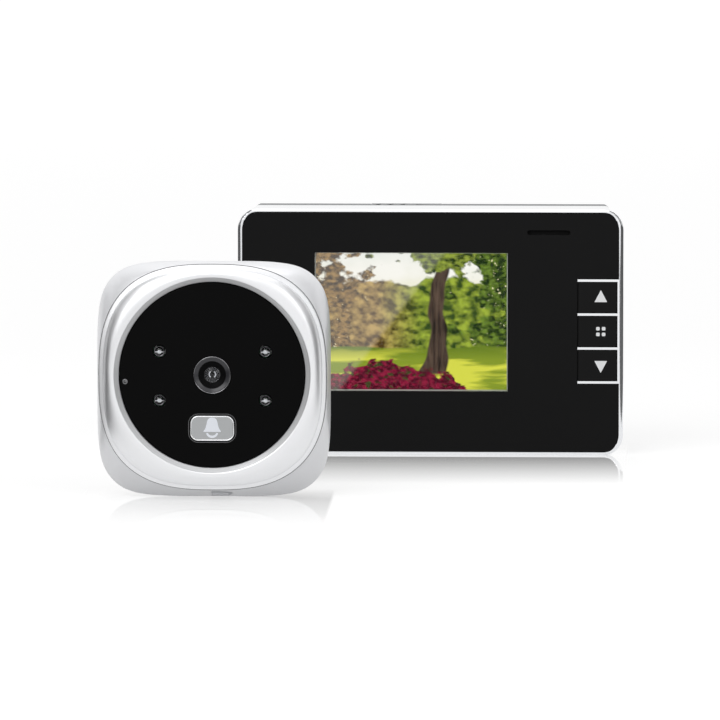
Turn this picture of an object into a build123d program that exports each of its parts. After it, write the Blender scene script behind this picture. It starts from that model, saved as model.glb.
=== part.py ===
"""Peephole door camera: an outdoor camera unit and an indoor monitor, standing as a pair.

Millimetres. +X is right, the fronts face -Y, +Z is up. The origin is the centre of the
monitor's bottom face. The outdoor unit is drawn about the middle of its own back face
and is then stood in front of the monitor and to its left.
"""
from build123d import *
import os
from math import cos, pi, radians, sin

# Indoor monitor: the margins round its screen, and its walls
margin_left = 23.0
margin_right = 34.5
margin_bottom = 18.9
margin_top = 12.9
monitor_corner_radius = 4.3
monitor_rear_corner_radius = 2.6
monitor_side_taper = 4.3
monitor_wall = 1.5
rim_width = 1.35
rim_bevel = 0.5
back_cover_depth = 7.0
back_edge_bevel = 0.9
edge_flat = 0.1

# Outdoor camera unit: its round window, the margins round its bezel, and where it stands
window_radius = 26.6
unit_side_margin = 4.6
unit_top_margin = 5.0
unit_wall = 1.6
unit_back_wall = 1.8
unit_x = -59.0
unit_back_y = -122.0

# Clearances used all over
panel_clearance = 0.08
press_clearance = 0.1
seat_clearance = 0.05
fit_clearance = 0.15
overrun = 1.0

# Front panel, screen window and speaker slot, the slot's middle measured from the right and the top
panel_recess = 0.3
panel_thickness = 1.5
shelf_thickness = 1.2
screen_width = 57.5
screen_height = 41.4
window_flange = 1.5
window_flange_thickness = 0.7
slot_from_right = 22.3
slot_from_top = 6.8
slot_length = 12.8
slot_height = 1.4

# Key comb: four silver bars with a key between each pair
comb_from_right = 1.8
comb_width = 11.9
comb_from_top = 21.05
comb_pitch = 10.15
comb_bar = 0.7
comb_bar_recess = 0.1
key_gap = 0.1
key_left_gap = 0.15
key_flange = 0.3
key_flange_thickness = 0.7
key_flange_setback = 0.7
key_edge_bevel = 0.12
key_travel = 0.4
key_plunger_radius = 1.2
key_plunger_offset = 0.9
KEY_NAMES = ["down", "menu", "up"]

# Liquid crystal display behind the window
lcd_side_border = 4.75
lcd_top_border = 3.3
lcd_glass_thickness = 1.1
lcd_tray_wall = 1.1
lcd_tray_depth = 3.3
lcd_opening_clearance = 0.25
foam_thickness = 0.6
foam_width = 5.0
foam_inset = 6.0

# Main board of the monitor with its posts, switches and speaker
board_thickness = 1.0
board_side_gap = 5.5
board_top_gap = 9.6
board_bay_gap = 1.1
post_radius = 2.0
post_from_left = 10.5
post_from_right_low = 21.5
post_from_right_high = 7.1
post_edge_inset = 6.4
screw_shank_radius = 0.85
screw_hole_radius = 0.9
board_screw_head_radius = 1.8
board_screw_head_height = 1.2
board_screw_length = 4.0
switch_size = 4.5
switch_body_height = 1.0
switch_stem_radius = 1.0
switch_stem_height = 0.5
speaker_radius = 8.7
speaker_cone_radius = 7.2
speaker_cone_depth = 0.8
speaker_from_right = 19.5
speaker_from_top = 11.7
speaker_front_gap = 0.1
channel_width = 10.6
channel_height = 4.2
channel_shift = 0.7

# Battery bay in the back cover, with three cells lying along X
cell_radius = 5.25
cell_length = 44.5
cell_nub_radius = 1.9
cell_nub_length = 0.8
cell_spacing = 0.5
cell_count = 3
bay_centre_x = -7.7
bay_end_room = 3.05
bay_side_room = 0.45
bay_from_top = 5.8
bay_wall = 1.6
bay_floor = 1.2
bay_cell_gap = 0.2
contact_thickness = 0.4
contact_width = 8.6
contact_spring_radius = 3.2
contact_spring_tip_radius = 1.6
contact_plain_radius = 2.4
contact_plain_tip_radius = 1.7

# Battery cover, its latch tab and its two tongues
cover_thickness = 1.4
cover_overlap = 1.0
tab_width = 21.0
tab_reach = 5.8
tab_thickness = 1.3
tab_block_wall = 1.4
tab_slot_width = 1.0
tab_slot_length = 4.4
tab_slot_depth = 0.7
tab_slot_pitch = 3.65
tab_slot_first = 3.4
TAB_SLOT_SLANT = 25
TAB_SLOT_COUNT = 3
tab_wedge_length = 4.6
tab_wedge_height = 2.4
tongue_width = 4.0
tongue_thickness = 0.9
tongue_gap = 0.3
tongue_reach = 1.6
tongue_root = 1.8
tongue_spacing = 34.0
finger_rib_count = 5
finger_rib_pitch = 1.8
finger_rib_width = 0.8
finger_rib_depth = 0.35
finger_rib_length = 14.0
finger_rib_top = 64.0

# Back cover: screws, bracket slots, lead socket pocket and power switch
cover_screw_side_inset = 4.9
cover_screw_top_inset = 6.3
frame_boss_radius = 2.6
cover_boss_radius = 2.9
cover_screw_seat_radius = 2.2
cover_screw_head_radius = 2.0
cover_screw_head_height = 1.3
cover_screw_seat_depth = 2.6
cover_screw_length = 9.0
boss_rib = 1.2
bracket_slot_length = 8.0
bracket_slot_radius = 1.6
bracket_slot_side_inset = 7.2
bracket_slot_spacing_z = 36.0
bracket_slot_drop = 0.6
socket_x = -5.0
socket_pocket_width = 19.0
socket_pocket_height = 9.6
socket_pocket_depth = 9.2
socket_pocket_wall = 1.2
socket_width = 12.4
socket_height = 5.0
socket_depth = 4.0
socket_wall = 0.7
socket_floor = 1.0
socket_pin_count = 5
socket_pin_pitch = 2.0
socket_pin_width = 0.6
socket_pin_rise = 2.2
switch_from_right = 19.5
switch_drop = 6.6
slider_recess_width = 13.0
slider_recess_height = 5.6
slider_recess_depth = 0.7
slider_knob_width = 4.0
slider_knob_height = 2.8
slider_travel = 4.0
slider_clearance = 0.2
slider_knob_sunk = 0.15
slider_knob_root = 1.0
slider_ridge_count = 3
slider_ridge_pitch = 1.1
slider_ridge_width = 0.4
slider_ridge_depth = 0.25
power_body_width = 14.0
power_body_height = 6.0
power_body_depth = 4.0

# Outline shape of the outdoor unit: the power of each superellipse, 2 being a circle
OUTLINE_POINTS = 36
rear_power = 4.9
ridge_power = 2.7
unit_rim_inset = 0.8
unit_rim_depth = 1.2
ridge_side_inset = 0.8
ridge_height_inset = 1.4
ridge_rise = 1.3
face_rise = 2.2
WALL_BANDS = 5

# Bezel of the outdoor unit, a ring that swells forward between the ridge and the window
parting_line = 0.12
lip_height = 0.5
lip_bevel = 0.3
cove_width = 1.1
crown_margin = 1.15
crown_land = 0.3
crown_rise = 4.3
CROWN_BANDS = 7
throat_margin = 1.0
throat_drop = 0.5
chamfer_drop = 1.2
window_drop = 1.4
window_thickness = 1.8
window_edge_bevel = 0.25
window_ledge = 1.4
skirt_gap = 0.15
skirt_wall = 1.0
skirt_depth = 1.6
bezel_boss_radius = 2.3
bezel_boss_depth = 5.0
housing_boss_radius = 3.0
unit_screw_margin = 3.66
unit_screw_seat_radius = 2.0
unit_screw_head_radius = 1.85
unit_screw_seat_depth = 1.6
unit_screw_head_height = 1.2
unit_screw_length = 6.6
notch_left = -0.6
notch_length = 6.3
notch_slant = 1.6
notch_depth = 0.9
notch_rear = 0.7
notch_front = 7.6

# Lens, lamps, doorbell button and microphone behind the window
lens_radius = 5.3
lens_clearance = 0.1
lens_proud = 0.4
lens_cone_radius = 3.92
lens_cone_small_radius = 2.08
lens_cone_depth = 1.3
lens_edge_bevel = 0.4
lens_glass_thickness = 1.1
lens_glass_rise = 0.55
lens_rear_drop = 4.8
lens_bore_radius = 3.1
lens_mount_collar_radius = 6.6
lens_mount_size = 15.0
lens_mount_base_height = 1.4
lens_mount_height = 3.6
sensor_size = 6.4
sensor_height = 0.8
lamp_x = 15.15
lamp_z_up = 6.6
lamp_z_down = -7.4
lamp_hole_radius = 1.87
lamp_radius = 1.5
lamp_flange_radius = 1.8
lamp_flange_height = 0.9
lamp_sunk = 0.1
bell_width = 12.6
bell_height = 7.2
bell_corner_radius = 2.3
bell_z = -15.3
bell_gap = 0.45
bell_proud = 0.45
bell_flange = 0.9
bell_flange_thickness = 0.7
bell_edge_bevel = 0.35
bell_travel = 0.5
bell_plunger_radius = 1.5
bell_switch_size = 6.0
bell_switch_height = 1.3
bell_switch_stem_radius = 1.5
bell_switch_stem_height = 0.5
mic_inset = 1.7
mic_z = -2.0
mic_hole_radius = 0.32
mic_ring_radius = 0.75
mic_ring_depth = 0.2
mic_radius = 2.0
mic_length = 2.2
mic_boot_wall = 0.4
mic_boot_length = 2.8
mic_pocket_clearance = 0.1

# Board of the outdoor unit, its posts, and the way through the door
unit_board_gap = 1.2
unit_board_thickness = 1.2
unit_board_rear = 5.4
unit_board_front_room = 4.0
unit_post_radius = 1.9
unit_post_inset = 3.5
unit_board_screw_length = 4.2
barrel_radius = 6.0
barrel_bore_radius = 4.0
barrel_length = 38.0
barrel_hole_clearance = 0.1
barrel_collar_radius = 6.4
barrel_flange_flats = 17.0
barrel_flange_thickness = 1.6
barrel_socket_wall = 1.2
barrel_end_bevel = 0.6
gasket_thickness = 1.5
gasket_inset = 1.6
gasket_bore_radius = 9.0
gasket_screw_hole_radius = 3.2
lead_socket_width = 5.6
lead_socket_height = 2.6
lead_socket_depth = 1.3

# Places that follow from the sizes above
lcd_glass_width = screen_width + 2 * lcd_side_border
lcd_glass_height = screen_height + 2 * lcd_top_border
lcd_tray_width = lcd_glass_width + 2 * lcd_tray_wall
lcd_tray_height = lcd_glass_height + 2 * lcd_tray_wall
monitor_width = margin_left + screen_width + margin_right
monitor_height = margin_bottom + screen_height + margin_top
display_depth = panel_recess + panel_thickness + window_flange_thickness + lcd_tray_depth + foam_thickness
bay_depth = bay_floor + 2 * cell_radius + 2 * bay_cell_gap + cover_thickness
monitor_depth = display_depth + board_thickness + board_bay_gap + bay_depth
monitor_front_y = -monitor_depth / 2
monitor_rear_y = monitor_depth / 2
monitor_left_x = -monitor_width / 2
monitor_right_x = monitor_width / 2
parting_y = monitor_rear_y - back_cover_depth
panel_front_y = monitor_front_y + panel_recess
panel_rear_y = panel_front_y + panel_thickness
shelf_rear_y = panel_rear_y + shelf_thickness
rear_plate_y = monitor_rear_y - monitor_wall
screen_x = monitor_left_x + margin_left + screen_width / 2
screen_z = margin_bottom + screen_height / 2
slot_x = monitor_right_x - slot_from_right
slot_z = monitor_height - slot_from_top
lcd_front_y = panel_rear_y + window_flange_thickness
lcd_rear_y = lcd_front_y + lcd_tray_depth
board_front_y = lcd_rear_y + foam_thickness
board_rear_y = board_front_y + board_thickness
board_width = monitor_width - 2 * board_side_gap
board_height = monitor_height - 2 * board_top_gap
speaker_x = monitor_right_x - speaker_from_right
speaker_z = monitor_height - speaker_from_top
comb_x1 = monitor_right_x - comb_from_right
comb_x0 = comb_x1 - comb_width
comb_last_bar = monitor_height - comb_from_top
comb_first_bar = comb_last_bar - len(KEY_NAMES) * comb_pitch
comb_z0 = comb_first_bar - comb_bar / 2
comb_z1 = comb_last_bar + comb_bar / 2
key_width = comb_x1 - comb_x0 - key_left_gap - key_gap
key_height = comb_pitch - comb_bar - 2 * key_gap
key_x = comb_x0 + key_left_gap + key_width / 2
cell_pitch = 2 * cell_radius + cell_spacing
bay_length = cell_length + 2 * bay_end_room
bay_height = (cell_count - 1) * cell_pitch + 2 * cell_radius + 2 * bay_side_room
bay_bottom = monitor_height - bay_from_top - bay_height
bay_centre_z = bay_bottom + bay_height / 2
cover_width = bay_length + 2 * cover_overlap
cover_bottom = bay_bottom - cover_overlap
cover_top = bay_bottom + bay_height + cover_overlap
cover_front_y = monitor_rear_y - cover_thickness
cell_y = cover_front_y - bay_cell_gap - cell_radius
bay_floor_y = cell_y - cell_radius - bay_cell_gap
tab_top = monitor_height
tab_front_y = monitor_rear_y - tab_reach
socket_z = bay_bottom / 2
rear_half_width = monitor_width / 2 - monitor_side_taper
cover_screw_x = rear_half_width - cover_screw_side_inset
bracket_slot_x = rear_half_width - bracket_slot_side_inset
bracket_slot_z = monitor_height / 2 - bracket_slot_drop
switch_x = monitor_right_x - switch_from_right
switch_z = monitor_height / 2 - switch_drop
window_hole_radius = window_radius + fit_clearance
throat_radius = window_hole_radius + throat_margin
crown_radius = throat_radius + crown_margin
seat_radius = window_radius - window_ledge
unit_half_width = crown_radius + unit_side_margin
unit_half_height = crown_radius + unit_top_margin
unit_board_radius = seat_radius - unit_board_gap
unit_board_stack = unit_board_rear + unit_board_thickness + unit_board_front_room
unit_wall_depth = unit_board_stack + window_thickness + window_drop - crown_rise
mic_x = -(window_radius - mic_inset)
ridge_half_width = unit_half_width - ridge_side_inset
ridge_half_height = unit_half_height - ridge_height_inset
ridge_y = -unit_wall_depth
crown_y = ridge_y - crown_rise
window_front_y = crown_y + window_drop
window_rear_y = window_front_y + window_thickness
unit_board_rear_y = -unit_board_rear
unit_board_front_y = unit_board_rear_y - unit_board_thickness


def slab(sketch, front_y, rear_y):
    """A sketch drawn in X and Z, thickened between two places along Y."""
    return extrude(Plane.XZ.offset(-rear_y) * sketch, amount=rear_y - front_y)


def at(x, z, sketch):
    """A sketch moved to a place in X and Z."""
    return Pos(x, z) * sketch


def rod(x, z, radius, front_y, rear_y):
    """A round bar along Y."""
    return slab(at(x, z, Circle(radius)), front_y, rear_y)


def stack(sections):
    """A solid through outlines, each given as its place along Y and its face."""
    return loft([Plane.XZ.offset(-y) * face for y, face in sections], ruled=True)


def turned(points):
    """A solid turned about the Y axis from an outline of radius and Y pairs."""
    return revolve(make_face(Polyline(*points, close=True)), axis=Axis.Y)


def screw(x, z, head_y, head_radius, head_height, length, direction):
    """A pan-head screw along Y with a cross recess; direction is +1 where the head faces +Y."""
    head_end = head_y + direction * head_height
    shank_end = head_y - direction * length
    body = rod(x, z, head_radius, min(head_y, head_end), max(head_y, head_end))
    body += rod(x, z, screw_shank_radius, min(head_y, shank_end), max(head_y, shank_end))
    slot = Rectangle(head_radius, head_radius / 4) + Rectangle(head_radius / 4, head_radius)
    slot_floor = head_end - direction * head_height / 2
    slot_mouth = head_end + direction * overrun
    return body - slab(at(x, z, slot), min(slot_floor, slot_mouth), max(slot_floor, slot_mouth))


def monitor_outline(y, inset=0.0, flats=0.0):
    """The monitor's rounded outline at a place along Y, with the height that its flats are cut from."""
    depth_share = (y - monitor_front_y) / monitor_depth
    width = monitor_width - 2 * monitor_side_taper * depth_share - 2 * inset
    height = monitor_height + 2 * flats - 2 * inset
    shrink = monitor_rear_corner_radius - monitor_corner_radius
    radius = monitor_corner_radius + shrink * depth_share - inset
    return at(0, monitor_height / 2, RectangleRounded(width, height, radius))


def monitor_shell(sections):
    """A solid through outlines of the monitor, given as their place and inset, cut flat above and below."""
    shell = stack([(y, monitor_outline(y, inset, edge_flat)) for y, inset in sections])
    front_y = monitor_front_y - overrun
    rear_y = monitor_rear_y + overrun
    block = Rectangle(monitor_width + 2 * overrun, monitor_height)
    return shell & slab(at(0, monitor_height / 2, block), front_y, rear_y)


def key_cell(index):
    """The hole between two comb bars, from the bar numbered index to the next."""
    width = comb_x1 - comb_x0
    height = comb_pitch - comb_bar
    return at(comb_x0 + width / 2, key_centre_z(index), Rectangle(width, height))


def key_centre_z(index):
    """Height of a key's centre."""
    return comb_first_bar + (index + 1 / 2) * comb_pitch


def board_posts():
    """Places of the four posts that carry the main board."""
    left = monitor_left_x + post_from_left
    low_z = board_top_gap + post_edge_inset
    high_z = monitor_height - board_top_gap - post_edge_inset
    low_right = (monitor_right_x - post_from_right_low, low_z)
    high_right = (monitor_right_x - post_from_right_high, high_z)
    return [(left, low_z), (left, high_z), low_right, high_right]


def cover_screws():
    """Places of the four screws that hold the back cover on."""
    heights = (cover_screw_top_inset, monitor_height - cover_screw_top_inset)
    return [(side * cover_screw_x, z) for side in (-1, 1) for z in heights]


def make_monitor_frame():
    """Silver front frame: tapered walls, a shelf behind the panel and the comb between the keys."""
    bevel_y = monitor_front_y + rim_bevel
    frame = monitor_shell([(monitor_front_y, rim_bevel), (bevel_y, 0), (parting_y, 0)])
    frame -= slab(monitor_outline(monitor_front_y, rim_width), monitor_front_y - overrun, panel_rear_y)
    frame -= stack([
        (shelf_rear_y, monitor_outline(shelf_rear_y, monitor_wall)),
        (parting_y + overrun, monitor_outline(parting_y + overrun, monitor_wall)),
    ])
    lcd_width = lcd_tray_width + 2 * lcd_opening_clearance
    lcd_height = lcd_tray_height + 2 * lcd_opening_clearance
    frame -= slab(at(screen_x, screen_z, Rectangle(lcd_width, lcd_height)), panel_rear_y - overrun, shelf_rear_y + overrun)
    channel = at(slot_x + channel_shift, slot_z - channel_shift / 2, Rectangle(channel_width, channel_height))
    frame -= slab(channel, panel_rear_y - overrun, shelf_rear_y + overrun)
    frame += make_comb()
    key_room = seat_clearance + key_flange_thickness + key_travel + fit_clearance
    for index in range(len(KEY_NAMES)):
        frame -= slab(key_cell(index), monitor_front_y - overrun, shelf_rear_y + key_room)
    for x, z in board_posts():
        frame += rod(x, z, post_radius, shelf_rear_y, board_front_y)
        frame -= rod(x, z, screw_hole_radius, shelf_rear_y, board_front_y + overrun)
    for x, z in cover_screws():
        frame += frame_boss(x, z)
        frame -= rod(x, z, screw_hole_radius, shelf_rear_y, parting_y + overrun)
    return frame


def make_comb():
    """The four bars and the upright that joins them, flush with the rim on the right."""
    bar_front_y = panel_front_y - comb_bar_recess
    rim_x = monitor_right_x - rim_width
    bar_length = rim_x + panel_clearance - comb_x0
    upright_width = rim_x + panel_clearance - comb_x1
    upright_height = comb_z1 - comb_z0
    upright = Rectangle(upright_width, upright_height)
    comb = slab(at(comb_x1 + upright_width / 2, comb_z0 + upright_height / 2, upright), bar_front_y, panel_rear_y)
    for index in range(len(KEY_NAMES) + 1):
        z = comb_first_bar + index * comb_pitch
        comb += slab(at(comb_x0 + bar_length / 2, z, Rectangle(bar_length, comb_bar)), bar_front_y, panel_rear_y)
    return comb


def frame_boss(x, z):
    """A screw boss that stands on the shelf and is tied to the side wall by a rib."""
    boss = rod(x, z, frame_boss_radius, shelf_rear_y, parting_y)
    side = 1 if x > 0 else -1
    wall_x = rear_half_width - monitor_wall / 2
    rib_length = wall_x - abs(x)
    rib = Rectangle(rib_length, boss_rib)
    return boss + slab(at(x + side * rib_length / 2, z, rib), shelf_rear_y, parting_y)


def make_front_panel():
    """Black acrylic panel with the window, the sound slot and the notch for the keys."""
    outline = monitor_outline(monitor_front_y, rim_width + panel_clearance)
    panel = outline - at(screen_x, screen_z, Rectangle(screen_width, screen_height))
    panel -= at(slot_x, slot_z, SlotOverall(slot_length, slot_height))
    notch_width = monitor_width
    notch_height = comb_z1 - comb_z0 + 2 * panel_clearance
    notch_x = comb_x0 - panel_clearance + notch_width / 2
    panel -= at(notch_x, (comb_z0 + comb_z1) / 2, Rectangle(notch_width, notch_height))
    return slab(panel, panel_front_y, panel_rear_y)


def make_screen_window():
    """Clear lens that fills the window, with a flange behind the panel."""
    clear_width = screen_width - 2 * seat_clearance
    clear_height = screen_height - 2 * seat_clearance
    flange_width = screen_width + 2 * window_flange
    flange_height = screen_height + 2 * window_flange
    window = slab(at(screen_x, screen_z, Rectangle(clear_width, clear_height)), panel_front_y, panel_rear_y)
    return window + slab(at(screen_x, screen_z, Rectangle(flange_width, flange_height)), panel_rear_y, lcd_front_y)


def make_lcd_panel():
    """Glass of the display."""
    glass = Rectangle(lcd_glass_width, lcd_glass_height)
    return slab(at(screen_x, screen_z, glass), lcd_front_y, lcd_front_y + lcd_glass_thickness)


def make_lcd_backlight():
    """Backlight tray that holds the glass."""
    tray = slab(at(screen_x, screen_z, Rectangle(lcd_tray_width, lcd_tray_height)), lcd_front_y, lcd_rear_y)
    pocket = Rectangle(lcd_glass_width + 2 * fit_clearance, lcd_glass_height + 2 * fit_clearance)
    return tray - slab(at(screen_x, screen_z, pocket), lcd_front_y - overrun, lcd_front_y + lcd_glass_thickness)


def make_lcd_foam():
    """Two foam strips that press the display forward from the board."""
    strips = []
    for side in (-1, 1):
        x = screen_x + side * (lcd_tray_width / 2 - foam_inset)
        strip = Rectangle(foam_width, lcd_tray_height - 2 * foam_inset)
        strips.append(slab(at(x, screen_z, strip), lcd_rear_y, board_front_y))
    return strips


def make_key(index):
    """A black key with a bevelled face, a flange that keeps it in and a plunger."""
    z = key_centre_z(index)
    cap = slab(at(key_x, z, Rectangle(key_width, key_height)), panel_front_y, shelf_rear_y + seat_clearance)
    front_edges = cap.edges().group_by(Axis.Y)[0]
    cap = chamfer(front_edges, key_edge_bevel)
    flange_front_y = shelf_rear_y + seat_clearance
    flange_rear_y = flange_front_y + key_flange_thickness
    flange_width = key_width + key_flange - key_flange_setback
    flange_x = key_x - (key_flange + key_flange_setback) / 2
    flange = Rectangle(flange_width, key_height + 2 * key_flange)
    cap += slab(at(flange_x, z, flange), flange_front_y, flange_rear_y)
    plunger_rear_y = switch_stem_y() - key_travel - press_clearance
    return cap + rod(key_x + key_plunger_offset, z, key_plunger_radius, flange_rear_y, plunger_rear_y)


def switch_stem_y():
    """Front end of a key switch's stem."""
    return board_front_y - switch_body_height - switch_stem_height


def make_key_switches():
    """One low switch on the board behind each key."""
    switches = []
    for index in range(len(KEY_NAMES)):
        x = key_x + key_plunger_offset
        z = key_centre_z(index)
        body_front_y = board_front_y - switch_body_height
        body = slab(at(x, z, Rectangle(switch_size, switch_size)), body_front_y, board_front_y)
        switches.append(body + rod(x, z, switch_stem_radius, switch_stem_y(), body_front_y))
    return switches


def make_main_board():
    """Circuit board with holes for its screws and for the lead socket's pins."""
    board = slab(at(0, monitor_height / 2, Rectangle(board_width, board_height)), board_front_y, board_rear_y)
    for x, z in board_posts():
        board -= rod(x, z, screw_shank_radius + fit_clearance, board_front_y - overrun, board_rear_y + overrun)
    return board


def make_board_screws():
    """Four small screws that hold the main board on its posts."""
    return [
        screw(x, z, board_rear_y, board_screw_head_radius, board_screw_head_height, board_screw_length, 1)
        for x, z in board_posts()
    ]


def make_speaker():
    """Round speaker with a sunk cone, on the board behind the slot."""
    front_y = shelf_rear_y + speaker_front_gap
    body = rod(speaker_x, speaker_z, speaker_radius, front_y, board_front_y)
    return body - rod(speaker_x, speaker_z, speaker_cone_radius, front_y - overrun, front_y + speaker_cone_depth)


def make_back_cover():
    """Rear shell with the battery bay, the latch seat, the lead pocket and the bracket slots."""
    bevel_y = monitor_rear_y - back_edge_bevel
    cover = monitor_shell([(parting_y, 0), (bevel_y, 0), (monitor_rear_y, back_edge_bevel)])
    cover -= stack([
        (parting_y - overrun, monitor_outline(parting_y - overrun, monitor_wall)),
        (rear_plate_y, monitor_outline(rear_plate_y, monitor_wall)),
    ])
    cover += make_bay_walls()
    cover += make_tab_seat()
    cover += make_socket_pocket_walls()
    for x, z in cover_screws():
        cover += rod(x, z, cover_boss_radius, parting_y, rear_plate_y)
        cover -= rod(x, z, screw_shank_radius + fit_clearance, parting_y - overrun, monitor_rear_y + overrun)
        seat_y = monitor_rear_y - cover_screw_seat_depth
        cover -= rod(x, z, cover_screw_seat_radius, seat_y, monitor_rear_y + overrun)
    cover -= make_bay_cavity()
    cover -= cover_cut(fit_clearance)
    cover -= tab_cut(fit_clearance)
    for side in (-1, 1):
        cover -= tongue_notch(side)
    cover -= socket_pocket_cavity()
    for x in (-bracket_slot_x, bracket_slot_x):
        for side in (-1, 1):
            z = bracket_slot_z + side * bracket_slot_spacing_z / 2
            slot = SlotOverall(bracket_slot_length, 2 * bracket_slot_radius)
            cover -= slab(at(x, z, slot), rear_plate_y - overrun, monitor_rear_y + overrun)
    return cover - slider_openings()


def make_bay_walls():
    """Box of the battery bay, from its floor to the rear plate."""
    walls = Rectangle(bay_length + 2 * bay_wall, bay_height + 2 * bay_wall)
    return slab(at(bay_centre_x, bay_centre_z, walls), bay_floor_y - bay_floor, monitor_rear_y)


def make_bay_cavity():
    """Space that the cells lie in."""
    cavity = Rectangle(bay_length, bay_height)
    return slab(at(bay_centre_x, bay_centre_z, cavity), bay_floor_y, monitor_rear_y + overrun)


def cover_cut(clearance):
    """Space of the battery cover's plate, grown by a clearance at its edges."""
    height = cover_top - cover_bottom
    plate = Rectangle(cover_width + 2 * clearance, height + 2 * clearance)
    rear_y = monitor_rear_y + (overrun if clearance else 0)
    return slab(at(bay_centre_x, cover_bottom + height / 2, plate), cover_front_y, rear_y)


def tab_cut(clearance):
    """Space of the latch tab, which runs up the back and forward over the top edge."""
    width = tab_width + 2 * clearance
    over = overrun if clearance else 0
    rise = tab_top + over - cover_top + overrun
    upright = slab(
        at(bay_centre_x, tab_top + over - rise / 2, Rectangle(width, rise)), cover_front_y, monitor_rear_y + over
    )
    thickness = tab_thickness + over + clearance
    top = Rectangle(width, thickness)
    return upright + slab(at(bay_centre_x, tab_top + over - thickness / 2, top), tab_front_y - clearance, cover_front_y)


def make_tab_seat():
    """Block under the latch tab."""
    width = tab_width + 2 * tab_block_wall
    bottom = bay_bottom + bay_height + bay_wall / 2
    seat = Rectangle(width, monitor_height - monitor_wall / 2 - bottom)
    middle = (monitor_height - monitor_wall / 2 + bottom) / 2
    return slab(at(bay_centre_x, middle, seat), parting_y, monitor_rear_y - monitor_wall / 2)


def tongue_place(side):
    """Middle of one of the battery cover's two tongues along X."""
    return bay_centre_x + side * tongue_spacing / 2


def tongue_notch(side):
    """Notch in the bay's lower wall that a tongue swings through."""
    width = tongue_width + 2 * tongue_gap
    low = cover_bottom - tongue_reach - 2 * tongue_gap
    high = bay_bottom + overrun
    depth = tongue_thickness + 3 * tongue_gap + tongue_reach
    notch = Rectangle(width, high - low)
    return slab(at(tongue_place(side), (low + high) / 2, notch), rear_plate_y - depth, rear_plate_y)


def make_socket_pocket_walls():
    """Outside of the pocket that the camera's lead plugs into."""
    width = socket_pocket_width + 2 * socket_pocket_wall
    height = socket_pocket_height + 2 * socket_pocket_wall
    front_y = monitor_rear_y - socket_pocket_depth - socket_pocket_wall
    return slab(at(socket_x, socket_z, Rectangle(width, height)), front_y, rear_plate_y)


def socket_pocket_cavity():
    """Inside of the lead pocket, with a slot for the pins through its floor."""
    floor_y = monitor_rear_y - socket_pocket_depth
    pocket = Rectangle(socket_pocket_width, socket_pocket_height)
    cavity = slab(at(socket_x, socket_z, pocket), floor_y, monitor_rear_y + overrun)
    pin_slot_length = socket_pin_pitch * (socket_pin_count - 1) + socket_pin_width + 2 * fit_clearance
    pin_slot = Rectangle(pin_slot_length, socket_pin_width + 2 * fit_clearance)
    return cavity + slab(at(socket_x, socket_z, pin_slot), floor_y - socket_pocket_wall - overrun, floor_y + overrun)


def slider_openings():
    """Shallow recess and slot for the power slider."""
    recess = RectangleRounded(slider_recess_width, slider_recess_height, slider_clearance * 4)
    cut = slab(at(switch_x, switch_z, recess), monitor_rear_y - slider_recess_depth, monitor_rear_y + overrun)
    slot = Rectangle(slider_slot_width(), slider_knob_height + 2 * slider_clearance)
    return cut + slab(at(switch_x, switch_z, slot), rear_plate_y - overrun, monitor_rear_y + overrun)


def slider_slot_width():
    """Length of the slot that the slider's knob runs in."""
    return slider_knob_width + slider_travel + 2 * slider_clearance


def make_battery_cover():
    """Cover plate with finger ribs, a latch tab over the top edge and two tongues below."""
    cover = cover_cut(0) + tab_cut(0)
    for side in (-1, 1):
        cover += make_tongue(side)
    for index in range(finger_rib_count):
        z = finger_rib_top - index * finger_rib_pitch
        groove_y = monitor_rear_y - finger_rib_depth
        groove = Rectangle(finger_rib_length, finger_rib_width)
        cover -= slab(at(bay_centre_x, z, groove), groove_y, monitor_rear_y + overrun)
    return cover - make_tab_slots()


def make_tongue(side):
    """A tongue that hooks behind the rear plate below the cover."""
    x = tongue_place(side)
    rear_y = rear_plate_y - tongue_gap
    front_y = rear_y - tongue_thickness
    root_low = bay_bottom + tongue_gap
    root_high = root_low + tongue_root
    low = cover_bottom - tongue_reach
    tongue = slab(at(x, (low + root_high) / 2, Rectangle(tongue_width, root_high - low)), front_y, rear_y)
    root = Rectangle(tongue_width, root_high - root_low)
    return tongue + slab(at(x, (root_low + root_high) / 2, root), front_y, cover_front_y)


def make_tab_slots():
    """Three slanted grip slots and one wedge-shaped slot in the top of the latch tab."""
    left = bay_centre_x - tab_width / 2
    middle_y = (tab_front_y + monitor_rear_y) / 2
    top = Plane.XY.offset(tab_top - tab_slot_depth)
    depth = tab_slot_depth + overrun
    slots = Sketch()
    for index in range(TAB_SLOT_COUNT):
        x = left + tab_slot_first - tab_slot_width + index * tab_slot_pitch
        slots += Pos(x, middle_y) * Rot(0, 0, -TAB_SLOT_SLANT) * SlotOverall(tab_slot_length, tab_slot_width, rotation=90)
    wedge_x = left + tab_slot_first + TAB_SLOT_COUNT * tab_slot_pitch - tab_slot_width
    wedge = Polyline(
        (wedge_x, middle_y - tab_wedge_height / 2),
        (wedge_x + tab_wedge_length, middle_y),
        (wedge_x, middle_y + tab_wedge_height / 2),
        close=True,
    )
    slots += make_face(wedge)
    return extrude(top * slots, amount=depth)


def cell_centre_z(index):
    """Height of a cell's axis."""
    return bay_centre_z + (index - (cell_count - 1) / 2) * cell_pitch


def make_battery_cells():
    """Three cells side by side, each turned the other way from the one below."""
    cells = []
    for index in range(cell_count):
        direction = 1 if index % 2 else -1
        can_length = cell_length - cell_nub_length
        can = Cylinder(cell_radius, can_length)
        can += Pos(0, 0, (can_length + cell_nub_length) / 2) * Cylinder(cell_nub_radius, cell_nub_length)
        can = Rot(0, 90 * direction, 0) * can
        cells.append(Pos(bay_centre_x, cell_y, cell_centre_z(index)) * Pos(-direction * cell_nub_length / 2) * can)
    return cells


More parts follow.
